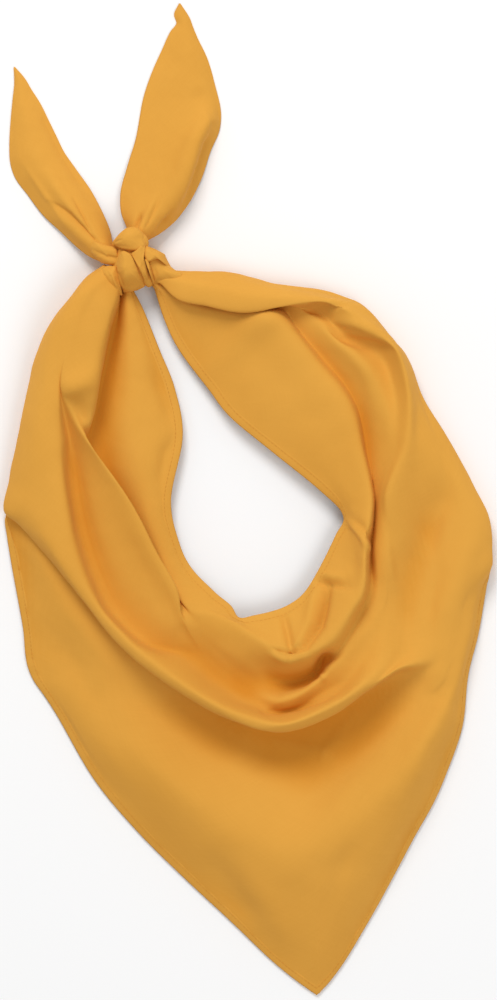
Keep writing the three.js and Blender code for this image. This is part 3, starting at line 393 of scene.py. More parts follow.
def smooth_step(x):
    """Rises smoothly from 0 to 1 while x does."""
    x = np.clip(x, 0, 1)
    return x * x * (3 - 2 * x)


def line_relief(places, points, left_width, right_width):
    """Height at each place from a crease: points are [x, y, height], and the crease falls away within
    left_width on its left and right_width on its right, seen along the crease from above."""
    x = places[..., 0]
    y = places[..., 1]
    nearest = np.full(x.shape, np.inf)
    height = np.zeros(x.shape)
    side = np.zeros(x.shape)
    for (ax, ay, ah), (bx, by, bh) in zip(points[:-1], points[1:]):
        dx = bx - ax
        dy = by - ay
        t = np.clip(((x - ax) * dx + (y - ay) * dy) / (dx * dx + dy * dy), 0, 1)
        away = np.hypot(x - ax - t * dx, y - ay - t * dy)
        closer = away < nearest
        nearest = np.where(closer, away, nearest)
        height = np.where(closer, ah + (bh - ah) * t, height)
        side = np.where(closer, dx * (y - ay) - dy * (x - ax), side)
    width = np.where(side > 0, left_width, right_width)
    return height * np.exp(-((nearest / width) ** 2))


def wrinkles(places, size, height, seed, octaves=3):
    """Smooth noise up to about the height on both sides of 0, with bumps about size millimetres across."""
    flat = places.reshape(-1, 3) / size + seed * NOISE_SHIFT
    values = [noise.fractal(Vector(p), NOISE_DECAY, NOISE_FREQUENCY_STEP, octaves) for p in flat]
    return np.array(values).reshape(places.shape[:-1]) * height


def in_scene(name, data):
    made = bpy.data.objects.new(name, data)
    bpy.context.scene.collection.objects.link(made)
    return made


def new_object(name, points, faces, material, uvs, painted_shade_shares=None):
    """Smooth-shaded mesh from points in millimetres."""
    mesh = bpy.data.meshes.new(name)
    mesh.from_pydata((np.asarray(points) * MILLIMETRE).tolist(), [], faces)
    mesh.polygons.foreach_set("use_smooth", [True] * len(mesh.polygons))
    layer = mesh.uv_layers.new(name="cloth")
    index = np.empty(len(mesh.loops), dtype=np.int32)
    mesh.loops.foreach_get("vertex_index", index)
    layer.data.foreach_set("uv", np.asarray(uvs)[index].ravel())
    if painted_shade_shares is not None:
        # The 'depth' attribute holds each point's share of the painted shade in the folds
        layer = mesh.attributes.new("depth", "FLOAT", "POINT")
        layer.data.foreach_set("value", painted_shade_shares)
    mesh.materials.append(material)
    mesh.update()
    made = in_scene(name, mesh)
    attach(made, "root")
    return made


def wall_faces(rows, columns):
    """Faces of a closed wall whose front points come first and whose back points follow."""
    back = rows * columns
    faces = []
    for i in range(rows - 1):
        for j in range(columns - 1):
            a = i * columns + j
            faces.append((a, a + columns, a + columns + 1, a + 1))
            faces.append((back + a, back + a + 1, back + a + columns + 1, back + a + columns))
    for i in range(rows - 1):
        a = i * columns
        b = a + columns - 1
        faces.append((a, back + a, back + a + columns, a + columns))
        faces.append((b, b + columns, back + b + columns, back + b))
    last = (rows - 1) * columns
    for j in range(columns - 1):
        faces.append((j, j + 1, back + j + 1, back + j))
        faces.append((last + j, back + last + j, back + last + j + 1, last + j + 1))
    return faces


def wall_points(grid):
    """Front and back points of the cloth round a grid. Nothing goes below the table."""
    half = normals_of(grid) * (CLOTH_THICKNESS / 2)
    both = np.concatenate([(grid + half).reshape(-1, 3), (grid - half).reshape(-1, 3)])
    both[:, 2] = np.maximum(both[:, 2], 0)
    return both


def cloth_uvs(grid, middle_column):
    """Flat coordinates of the cloth in metres, for the weave."""
    along = np.linalg.norm(np.diff(grid[:, middle_column], axis=0), axis=1)
    u = np.concatenate([[0], np.cumsum(along)])
    gaps = np.linalg.norm(np.diff(grid, axis=1), axis=2)
    v = np.concatenate([np.zeros((len(grid), 1)), np.cumsum(gaps, axis=1)], axis=1)
    v = v - v[:, middle_column:middle_column + 1]
    flat = np.stack([np.broadcast_to(u[:, None], v.shape), v], axis=-1).reshape(-1, 2) * MILLIMETRE
    return np.concatenate([flat, flat])


def height_among(grid, cell, reach):
    """How far each point lies below the mean height of the cloth round it, in millimetres."""
    flat = grid.reshape(-1, 3)
    low = flat.min(axis=0)[:2] - cell * reach * 2
    at = ((flat[:, :2] - low) / cell).astype(int)
    size = at.max(axis=0) + reach * 2 + 1
    heights = np.zeros(size)
    np.maximum.at(heights, (at[:, 0], at[:, 1]), flat[:, 2])
    for axis in (0, 1):
        for turn in range(2):
            total = np.zeros(size)
            for shift in range(-reach, reach + 1):
                total += np.roll(heights, shift, axis=axis)
            heights = total / (2 * reach + 1)
    return (heights[at[:, 0], at[:, 1]] - flat[:, 2]).reshape(grid.shape[:2])


def painted_fold_shade_share(grid):
    """How much painted shade each point gets: how deep it lies in narrow and in wide valleys, from 0 in the
    open to 1 at the bottom.
    """
    depth = np.zeros(grid.shape[:2])
    for valley in PAINTED_SHADE_VALLEYS:
        below = height_among(grid, valley["cell"], valley["reach"])
        depth += smooth_step((below - valley["start"]) / valley["range"]) * valley["share"]
    return np.minimum(depth, 1)


def cloth_object(name, grid, middle_column, painted_shade_shares=None):
    faces = wall_faces(*grid.shape[:2])
    return new_object(name, wall_points(grid), faces, CLOTH, cloth_uvs(grid, middle_column), painted_shade_shares)


def moved_cloth(grid, lift, quiet_columns):
    """Cloth moved along its normals, less and less towards its two edges, and kept above the table."""
    last = grid.shape[1] - 1
    columns = np.arange(last + 1)
    quiet = smooth_step(np.minimum(columns, last - columns) / quiet_columns)
    moved = grid + normals_of(grid) * (lift * quiet)[..., None]
    moved[..., 2] = np.maximum(moved[..., 2], CLOTH_THICKNESS / 2)
    return moved


# Materials
def new_material(name):
    material = bpy.data.materials.new(name)
    material.use_nodes = True
    return material


def set_inputs(tree, node, inputs):
    """Sets each input of the node to a value, or links it to another node's output."""
    for name, value in inputs.items():
        if isinstance(value, bpy.types.NodeSocket):
            tree.links.new(value, node.inputs[name])
        else:
            node.inputs[name].default_value = value


def new_node(tree, kind, inputs, **settings):
    node = tree.nodes.new("ShaderNode" + kind)
    for name, value in settings.items():
        setattr(node, name, value)
    set_inputs(tree, node, inputs)
    return node


def added(tree, first, second, share=1):
    """Output of first times share plus second."""
    node = new_node(tree, "Math", {0: first, 1: share, 2: second}, operation="MULTIPLY_ADD")
    return node.outputs["Value"]


def cotton(name, light, dark, weave_depth):
    """Plain-woven cotton: threads at 45 degrees to the hem, small slubs, a soft sheen, and painted shade in
    the folds where the mesh has a depth attribute.
    """
    material = new_material(name)
    tree = material.node_tree

    place = new_node(tree, "TexCoord", {})
    turned = new_node(tree, "Mapping", {
        "Vector": place.outputs["UV"], "Rotation": (0, 0, math.radians(45)),
    })
    threads = []
    for direction in ("X", "Y"):
        wave = new_node(tree, "TexWave", {
            "Vector": turned.outputs["Vector"], "Scale": 620, "Distortion": 0.6, "Detail": 1,
        }, wave_type="BANDS", bands_direction=direction)
        threads.append(wave.outputs["Fac"])
    weave = added(tree, *threads)

    slubs = []
    for stretch in ((45, 900, 1), (900, 45, 1)):
        longer = new_node(tree, "Mapping", {"Vector": turned.outputs["Vector"], "Scale": stretch})
        slub = new_node(tree, "TexNoise", {"Vector": longer.outputs["Vector"], "Scale": 1, "Detail": 2})
        slubs.append(slub.outputs["Fac"])
    slub_sum = added(tree, *slubs)

    cloud = new_node(tree, "TexNoise", {"Vector": place.outputs["Object"], "Scale": 9, "Detail": 4})
    tones = new_node(tree, "ValToRGB", {"Fac": added(tree, slub_sum, cloud.outputs["Fac"], 0.2)})
    for end, (position, colour) in zip(tones.color_ramp.elements, ((0.4, dark), (0.85, light))):
        end.position = position
        end.color = (*colour, 1)
    # Painted shade: the colour is multiplied by the fold colour as far as the depth attribute marks a
    # valley
    depth = new_node(tree, "Attribute", {}, attribute_name="depth")
    painted_shade_mix = new_node(tree, "Mix", {
        "Factor": depth.outputs["Fac"], "A": tones.outputs["Color"], "B": (*PAINTED_FOLD_SHADE, 1),
    }, data_type="RGBA", blend_type="MULTIPLY")

    bump = new_node(tree, "Bump", {
        "Height": added(tree, slub_sum, weave, 0.6), "Strength": weave_depth, "Distance": 0.00012,
    })
    set_inputs(tree, tree.nodes["Principled BSDF"], {
        "Base Color": painted_shade_mix.outputs["Result"], "Normal": bump.outputs["Normal"], "Roughness": 0.82,
        "Specular IOR Level": 0.22, "Sheen Weight": 0.04, "Sheen Roughness": 0.5,
        "Sheen Tint": (1, 0.78, 0.42, 1),
    })
    return material


CLOTH = cotton("cotton", (0.75, 0.36, 0.052), (0.69, 0.32, 0.042), 0.16)
THREAD = cotton("thread", (0.70, 0.32, 0.044), (0.62, 0.27, 0.034), 0.4)


# Camera, straight above the middle of the photograph, and far enough to keep the tall folds in place
FRAME_HEIGHT = 0.7199
FRAME_MIDDLE = (0.0005, -0.0005)
CAMERA_HEIGHT = 4.0
FOCUS_LEVEL = 0.018
SENSOR_HEIGHT = 36
camera_data = bpy.data.cameras.new("camera")
camera_data.sensor_fit = "VERTICAL"
camera_data.sensor_height = SENSOR_HEIGHT
camera_data.lens = SENSOR_HEIGHT * (CAMERA_HEIGHT - FOCUS_LEVEL) / FRAME_HEIGHT
camera_data.clip_end = 50
camera = in_scene("camera", camera_data)
camera.location = (*FRAME_MIDDLE, CAMERA_HEIGHT)
bpy.context.scene.camera = camera


# Drape
stations = even_stations()
steps = [n for _, n in ACROSS[:-1]]
drape = drape_grid(stations, steps)


def gathered(row, end):
    """Rows between a row of the drape and a point in the knot."""
    target = knot_point(*end)
    return [row + (target - row) * share for share in GATHER_SHARES]


# The rows run from the right band round to the left band, so that the normals point up
drape = np.concatenate([
    np.array(gathered(drape[0], LEFT_BAND_END))[::-1],
    drape,
    np.array(gathered(drape[-1], RIGHT_BAND_END)),
])[::-1]
hem_steps = ACROSS[0][1]


def crease_relief(places, left_width, right_width, points):
    """Height at each place from a crease whose points are given in the drape's grid."""
    path = [(*drape_point(x, y, 0)[:2], height) for x, y, height in points]
    return line_relief(places, path, left_width, right_width)


def drape_creases(grid):
    """How far the creases lift each point of the drape, each within its own part of the cloth."""
    lift = np.zeros(grid.shape[:2])
    for first, last, left_width, right_width, points in DRAPE_CREASES:
        a = column_of(first)
        b = column_of(last)
        ease = np.ones(b - a + 1)
        soft = min(CREASE_EASE_COLUMNS, (b - a) // 2)
        for k in range(soft):
            ease[k] = smooth_step((k + 1) / (soft + 1)) if a > 0 else 1
            ease[-1 - k] = smooth_step((k + 1) / (soft + 1)) if b < grid.shape[1] - 1 else 1
        lift[:, a:b + 1] += crease_relief(grid[:, a:b + 1], left_width, right_width, points) * ease
    return lift


# Columns over which a crease fades in at the fold lines that bound it
CREASE_EASE_COLUMNS = 3
# Creases of the drape: the fold lines between which the crease lies, how far it falls away on its left
# and on its right in millimetres, and its points as [across, up, height in millimetres].
DRAPE_CREASES = [
    ("neck_hem", "collar_crest", 6, 6, [
        (30, 64.9, 0), (32, 61.5, -1.8), (34.1, 58.8, -1.5), (34.9, 56.8, 0),
    ]),
    ("neck_hem", "collar_crest", 5, 5, [
        (36.5, 56.8, 0), (33.3, 54.8, -2), (32, 52, -1.6), (31.6, 49.5, 0),
    ]),
    ("first_edge", "second_edge", 8, 12, [
        (11.6, 60.7, 1), (14.1, 61.2, 4), (16.5, 61.7, 4.6), (19.4, 62.7, 2.6),
    ]),
    ("first_edge", "second_edge", 3, 8, [(12.4, 59.9, -0.6), (14.9, 60.3, -1.8), (17.3, 60.9, -1.6)]),
    ("second_edge", "roll_top", 5, 5, [
        (13.7, 56, 0), (14.7, 53, -3), (15.7, 50, -4), (16.9, 47, -4), (19, 44, -3.4), (21.2, 41, -2),
        (23.5, 38, 0),
    ]),
    ("second_edge", "second_valley", 6, 6, [
        (22.2, 49.4, 0), (24.7, 46.4, -1.6), (28.4, 43.2, -2.4), (33.3, 39.8, -2.6), (38.2, 36.7, -2),
        (43.3, 34.5, 0),
    ]),
    ("neck_hem", "collar_drop", 3, 3, [(56.7, 39.4, -1), (58, 37.1, -3), (58.8, 35.1, -3.6)]),
    ("neck_hem", "collar_drop", 4, 2.5, [
        (60, 35.1, 1.2), (62.2, 37.6, 1.8), (63.2, 40, 2), (63.5, 41.6, 1),
    ]),
    ("neck_hem", "collar_drop", 3, 4, [
        (59, 34.4, -2.6), (61.4, 35.4, -5.4), (64.3, 37.6, -7.4), (65.3, 39.6, -7), (65.9, 41, -4.6),
    ]),
    ("neck_hem", "collar_drop", 2, 4, [
        (71.2, 41.4, -1), (68, 41.5, -4), (65.5, 41.6, -4.5), (63.5, 41.7, -2),
    ]),
    ("neck_hem", "collar_drop", 5, 3, [(70, 42.2, 0), (67.1, 42.3, 2.4), (64.3, 42.4, 1.8)]),
    ("neck_hem", "collar_drop", 1.8, 1.8, [
        (54.1, 35.2, 0), (56.3, 34.9, -3.4), (58.6, 34.7, -4.4), (60.4, 35.3, -3),
    ]),
    ("neck_hem", "collar_drop", 2.4, 2, [
        (54.5, 34.7, 0.5), (56.7, 34.2, 2.2), (58.6, 33.9, 2.8), (60.8, 34.4, 2),
    ]),
    ("neck_hem", "collar_drop", 2.2, 2.2, [
        (69.4, 48.6, 0), (71.6, 47.3, 1.8), (73.3, 46.3, 2.4), (74.3, 45.2, 1.5),
    ]),
    ("neck_hem", "collar_drop", 3, 3, [(70.8, 48.4, 0), (73.3, 47.2, -2), (74.9, 46.2, -1.4)]),
    ("collar_drop", "roll_top", 1.8, 3, [(65.3, 32.3, 1), (66.1, 34.3, 1.6), (66.9, 36.1, 1)]),
    ("collar_drop", "roll_top", 3, 1.8, [(52.9, 28.8, 0), (58.6, 30.4, 1), (65.1, 32.2, 1.2)]),
    ("first_edge", "roll_top", 1.6, 1.6, [
        (52.9, 28.8, -1.2), (56.5, 28.7, -2.2), (60.6, 29.1, -2.2), (65.9, 30.1, -1.6), (70.4, 31.3, 0),
    ]),
    ("second_edge", "roll_under", 7, 12, [
        (92, 52.6, 0), (89.8, 49.8, -4.2), (87.4, 46.9, -5.6), (84.9, 43.8, -5.6), (83, 40.4, -4),
        (82.2, 36.5, -3), (82, 33, 0),
    ]),
    ("apron_valley", "hem_line", 18, 17, [
        (60.6, 10.5, 0), (64.9, 14.4, 5), (69.6, 17.8, 7), (75.7, 20.8, 7), (82, 23.7, 5.6),
        (87.3, 27.1, 2.6), (90.4, 29.9, 0),
    ]),
    ("shoulder", "apron_valley", 9, 9, [
        (96.1, 48, 0), (94.5, 45.2, 2), (92.4, 42, 2.4), (90, 39, 1.5), (87.6, 36.7, 0),
    ]),
    ("second_edge", "shoulder", 3, 2.5, [
        (60.6, 68.8, -1), (64.3, 69.2, -3.5), (67.8, 69.5, -3.5), (71.2, 69.8, 0),
    ]),
    ("second_edge", "roll_top", 4, 4, [
        (64.3, 67.9, 0), (68.8, 68, 2.4), (72.9, 67.6, 3), (76.5, 66.7, 1.5),
    ]),
    ("second_edge", "roll_top", 3, 4, [
        (63.1, 67.3, 0), (66.7, 66.6, -2.6), (70.8, 66.1, -3.4), (75.3, 65.6, -3.4), (79.4, 65.1, -1),
    ]),
    ("apron_valley", "hem_line", 11, 12, [
        (59.8, 8.6, 0), (64.3, 13.3, -3), (68, 16.1, -3.2), (73.3, 19.5, -3), (81.8, 24.3, -2.4),
        (89.2, 29.7, -1.6), (91.6, 32.7, 0),
    ]),
    ("apron_valley", "hem_line", 8, 9, [
        (64.3, 5.8, 0), (66.7, 9.8, -1.5), (69.2, 13.3, -1.8), (72, 16.3, 0),
    ]),
    ("apron_valley", "hem_line", 12, 14, [
        (8.4, 39, 0), (12, 35.1, -3.2), (16.9, 30.9, -3.8), (23.9, 27.1, -2.6), (32, 23.9, 0),
    ]),
    ("apron_valley", "hem_line", 9, 12, [
        (9.6, 31.9, 0), (14.9, 28.3, 2), (21.8, 24.3, 1.8), (30, 19.9, 0),
    ]),
    ("apron_valley", "hem_line", 8, 10, [
        (40.2, 15.7, 0), (44.3, 12.7, -2.2), (48.8, 9.3, -2.4), (52.9, 6.8, 0),
    ]),
    ("apron_valley", "hem_line", 10, 10, [
        (47.6, 14.9, 0), (52, 11, 2.4), (56.9, 7.4, 2.4), (60.6, 4.8, 0),
    ]),
    ("apron_valley", "apron_crest", 2.5, 5, [
        (52, 25.4, 0), (58.6, 25.1, -2), (64.3, 24.8, -2.8), (65.9, 24.7, -1),
    ]),
    ("first_edge", "roll_top", 2, 9, [
        (58.2, 67.9, 0), (61.2, 66.1, -2), (65.1, 63.4, -2.6), (69.4, 60.2, -2.6), (71.6, 57.2, -2.4),
        (73.3, 53.8, -2), (74.5, 50.8, 0),
    ]),
    ("first_edge", "roll_top", 5, 5, [
        (66.7, 66.1, 0), (70.8, 64.9, 1.4), (74.1, 62.9, 1.6), (75.7, 60, 1.2), (76.5, 57.5, 0),
    ]),
    ("first_edge", "roll_top", 1.5, 6, [
        (63.1, 69.6, -1), (65.9, 69.8, -3.4), (68.8, 70, -4.6), (71.4, 70.1, -2),
    ]),
    ("collar_drop", "second_edge", 1.5, 6, [
        (22.4, 69.8, 0), (21.2, 67.1, 1.2), (20, 64.1, 1.6), (19.2, 61.5, 1.6), (18.4, 59, 1.4),
        (17.1, 56.6, 0.6),
    ]),
    ("collar_drop", "second_edge", 6, 1.5, [
        (23.7, 69.8, 0), (22.4, 67.1, -1.6), (21.2, 64.1, -1.8), (20.2, 61.5, -1.4), (19.2, 59, -0.6),
        (18, 56.8, 0),
    ]),
    ("first_edge", "roll_top", 7, 3, [
        (13.3, 60.6, 0), (14.9, 59.6, -2.6), (16.5, 58.1, -2.8), (17.1, 56.8, 0),
    ]),
    ("collar_drop", "roll_top", 2, 6, [
        (67.6, 36.3, 0), (66.7, 34.4, -1.3), (65.3, 32.7, -1), (63.5, 31.5, 0),
    ]),
    ("roll_under", "hem_line", 3, 9, [
        (48, 27.1, 0), (54.5, 26, 0.8), (60.6, 25.2, 1.4), (65.7, 24.7, 1.6),
    ]),
    ("roll_under", "hem_line", 3, 9, [
        (65.7, 24.7, 1.4), (68.8, 26.6, 1.2), (72, 28.7, 0.8), (75.3, 30.5, 0),
    ]),
    ("roll_under", "hem_line", 10, 6, [
        (66.7, 18.7, 0), (72.4, 21.5, 1.2), (77.8, 24.7, 1.8), (89.6, 32.3, 1.2),
    ]),
    ("roll_under", "hem_line", 8, 14, [
        (64.3, 11.8, 0), (69.6, 14.1, -2), (79.4, 19.7, -2.6), (88.8, 25.7, -2), (93.7, 29.9, 0),
    ]),
    ("neck_hem", "first_edge", 2, 12, [
        (33.7, 70.5, 0), (36.9, 69.8, 2), (42.7, 69.1, 3), (48.4, 68.7, 3.4), (54.1, 68.6, 3.4),
        (58.6, 68.9, 3), (62.2, 69.4, 0),
    ]),
]

lift = drape_creases(drape)
lift += wrinkles(drape, size=30, height=0.6, seed=1)
lift += wrinkles(drape, size=9, height=0.07, seed=2, octaves=2)
drape = moved_cloth(drape, lift, quiet_columns=6)
for hem in (slice(0, hem_steps + 1), slice(-1 - hem_steps, None)):
    drape[:, hem, 2] = np.maximum(drape[:, hem, 2], HEM_THICKNESS / 2)
# Share of painted shade at each point, for the front and the back of the cloth
drape_painted_shade = np.tile(painted_fold_shade_share(drape).ravel(), 2)
drape_piece = cloth_object("drape_cloth", drape, column_of("roll_top"), drape_painted_shade)
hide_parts("drape")


# Tails
# Rows of a tail's mesh, steps in each quarter of its width, and how much fuller than straight it rises
TAIL_ROWS = 150
TAIL_STEPS = 16
TAIL_FULLNESS = 0.8


def tail_grid(table, size, angle, root):
    """Points of a tail's middle surface. Rows run from the knot to the tip, columns from right to left."""
    table = np.array(table, float)
    width, length, height = size
    along = np.linspace(table[0, 0], table[-1, 0], TAIL_ROWS)
    found = smooth_rows(table[:, 0], table[:, 1:], along)
    grid = []
    for a, (left, ridge, right, edge_height, ridge_height) in zip(along, found):
        def place(across, rise):
            return np.array([across * width, a * length, rise * height]) / 100

        def between(edge, share):
            rise = share + share * (1 - share) * TAIL_FULLNESS
            return place(edge + (ridge - edge) * share, edge_height + (ridge_height - edge_height) * rise)

        profile = np.array([
            place(right, edge_height), between(right, 0.5), place(ridge, ridge_height),
            between(left, 0.5), place(left, edge_height),
        ])
        grid.append(smooth_through(profile, [TAIL_STEPS] * 4))
    grid = np.array(grid)
    turn = math.radians(angle)
    x = grid[..., 0] * math.cos(turn) - grid[..., 1] * math.sin(turn)
    y = grid[..., 0] * math.sin(turn) + grid[..., 1] * math.cos(turn)
    start = knot_point(*root, 0)
    return np.stack([x + start[0], y + start[1], grid[..., 2]], axis=-1)


# Creases of the tails: their widths on the left and on the right in millimetres, and their points in the
# drape's grid, with heights in millimetres
LEFT_TAIL_CREASES = [
    (1.5, 3, [
        (8.6, 80.2, 0), (11.2, 79.6, -1.4), (13.9, 78.7, -2), (16.5, 77.4, -2), (19, 75.9, -1.6),
        (22.2, 74.9, -0.8),
    ]),
    (4, 4, [(9.6, 79.1, 0), (12.9, 77.9, 1.6), (16.5, 76.3, 1.6), (19.8, 74.9, 0)]),
    (1.4, 1.4, [
        (14.1, 80.5, 0), (15.5, 79.3, -1.6), (16.9, 78.1, -2), (18.6, 76.5, -1.2), (20.6, 75.5, 0),
    ]),
    (4, 4, [(8.6, 83.6, 0), (11.6, 80.9, 2), (14.1, 79.3, 2.2), (16.5, 77.8, 1)]),
    (4, 4, [(4.3, 91.2, 0), (8.6, 88.1, -1.4), (13.3, 84, -1.6), (16.5, 81.3, -1), (18.8, 79.1, 0)]),
    (1.2, 2.4, [(11.2, 80.3, 0), (13.7, 78.9, -1), (15.7, 77.7, -1.4), (18.2, 76.5, -1), (20.6, 75.8, 0)]),
    (2, 2, [(3.9, 84.1, 0), (6.3, 82.3, 1), (8.8, 80.5, 1.2), (11.6, 78.7, 0.8), (14.5, 77.1, 0)]),
]
RIGHT_TAIL_CREASES = [
    (4, 8, [
        (44.1, 88.5, 0), (41.6, 88.2, 4), (39.4, 86.1, 6.4), (38, 83.9, 6.6), (36.1, 81.1, 5),
        (34.5, 79.4, 2.6), (32.9, 77.9, 0),
    ]),
    (2.5, 2.5, [(43.1, 87.3, 0), (41.4, 85.9, -2), (39.8, 83.5, -2), (37.8, 80.9, -1.4), (35.7, 79.3, 0)]),
    (1.6, 2, [(27.1, 77.4, -2.4), (27.8, 78.2, -3.2), (28.4, 79, 0)]),
    (2.6, 2.6, [(28.2, 77.2, 1), (30, 79.1, 1.8), (31.8, 80.9, 0)]),
    (1.6, 1.6, [(29.4, 77.5, -1), (31.2, 79.4, -1.4), (32.4, 81.1, 0)]),
    (5, 5, [(39.4, 91.6, 0), (40.2, 90.6, -1.2), (41.4, 89.4, 0)]),
    (1.4, 2.2, [(31.6, 77.2, -1), (33.1, 78.1, -2.6), (34.6, 79.4, 0)]),
]

for name, table, size, angle, root, creases, seed, cut, cut_area in (
    ("tail_left", LEFT_TAIL, LEFT_TAIL_SIZE, LEFT_TAIL_ANGLE, LEFT_TAIL_ROOT, LEFT_TAIL_CREASES, 3,
     (0.09, 0.155), 0.0062),
    ("tail_right", RIGHT_TAIL, RIGHT_TAIL_SIZE, RIGHT_TAIL_ANGLE, RIGHT_TAIL_ROOT, RIGHT_TAIL_CREASES, 4,
     (0.12, 0.178), 0.0108),
):
    grid = tail_grid(table, size, angle, root)
    lift = sum(crease_relief(grid, *crease) for crease in creases)
    lift += wrinkles(grid, size=18, height=0.3, seed=seed)
    piece = cloth_object(name + "_cloth", moved_cloth(grid, lift, quiet_columns=5), grid.shape[1] // 2)
    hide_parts(name)


# Knot
WRAP_SIDES = 32
WRAP_STEPS = 48
# The wraps run under the knot's outer layers: their reach and their level as shares of the tables'
WRAP_SHRINK = (0.9, 0.9, 0.8)
# Share of a wrap's length over which each end narrows, and its size at the very end
WRAP_TAPER_SHARE = 1 / 5
WRAP_END_SIZE = 0.55
# Powers that flatten a wrap's section across and up
WRAP_SECTION_POWERS = (0.85, 0.75)
# The wraps' pleats are stretched along the cloth's length, which mostly runs up and down
PLEAT_STRETCH = (1, 0.35, 1)
# Length and girth of a wrap's cloth for the weave, in metres
WRAP_CLOTH = (0.05, 0.04)


def signed_power(values, power):
    return np.sign(values) * np.abs(values) ** power


def wrap_points(table, seed):
    """Flat band with rounded sides swept along a wrap's route, with small lengthwise pleats."""
    rows = np.array(table, float)
    at = np.linspace(0, len(rows) - 1, WRAP_STEPS + 1)
    found = smooth_rows(np.arange(len(rows)), rows, at)
    centres = np.array([knot_point(*place) for place in found[:, :3] * WRAP_SHRINK])
    tangent = np.gradient(centres, axis=0)
    tangent /= np.linalg.norm(tangent, axis=1, keepdims=True)
    side = np.stack([tangent[:, 1], -tangent[:, 0], np.zeros(len(tangent))], axis=1)
    side /= np.linalg.norm(side, axis=1, keepdims=True)
    up = np.cross(side, tangent)
    step = np.arange(WRAP_STEPS + 1)
    inside = np.minimum(step, WRAP_STEPS - step) / (WRAP_STEPS * WRAP_TAPER_SHARE)
    narrowed = WRAP_END_SIZE + (1 - WRAP_END_SIZE) * np.sin(np.clip(inside, 0, 1) * math.pi / 2)
    taper = np.where(inside >= 1, 1, narrowed)
    half_width = found[:, 3] / 100 * KNOT_SIZE[0] * taper
    half_depth = found[:, 4] / 100 * KNOT_SIZE[2] * taper
    angle = np.linspace(0, 2 * math.pi, WRAP_SIDES, endpoint=False)
    across = signed_power(np.cos(angle), WRAP_SECTION_POWERS[0])
    rise = signed_power(np.sin(angle), WRAP_SECTION_POWERS[1])
    points = (
        centres[:, None, :]
        + side[:, None, :] * (across * half_width[:, None])[..., None]
        + up[:, None, :] * (rise * half_depth[:, None])[..., None]
    )
    out = points - centres[:, None, :]
    out /= np.linalg.norm(out, axis=2, keepdims=True)
    pleats = wrinkles(points * PLEAT_STRETCH, size=5, height=0.35, seed=seed, octaves=2)
    return points + out * pleats[..., None], centres


def ring_faces(rows, sides):
    """Faces between the neighbouring rings of a tube."""
    faces = []
    for i in range(rows - 1):
        for k in range(sides):
            a = i * sides + k
            b = i * sides + (k + 1) % sides
            faces.append((a, b, b + sides, a + sides))
    return faces


def tube_faces(rows, sides):
    """Faces of a tube that ends in two points, which follow the rings' points."""
    faces = ring_faces(rows, sides)
    first = rows * sides
    for k in range(sides):
        faces.append((first, (k + 1) % sides, k))
        a = (rows - 1) * sides + k
        b = (rows - 1) * sides + (k + 1) % sides
        faces.append((first + 1, a, b))
    return faces


def resampled(curve, spacing):
    """Positions along a curve of points at even spacing, as fractional row numbers."""
    gaps = np.linalg.norm(np.diff(curve, axis=0), axis=1)
    length = np.concatenate([[0], np.cumsum(gaps)])
    count = max(2, int(length[-1] / spacing))
    return np.interp(np.linspace(0, length[-1], count + 1), length, np.arange(len(curve)))


def rows_at(values, at):
    """Rows of the values at fractional row numbers."""
    low = np.clip(np.floor(at).astype(int), 0, len(values) - 2)
    share = (at - low).reshape((-1,) + (1,) * (values.ndim - 1))
    return values[low] * (1 - share) + values[low + 1] * share


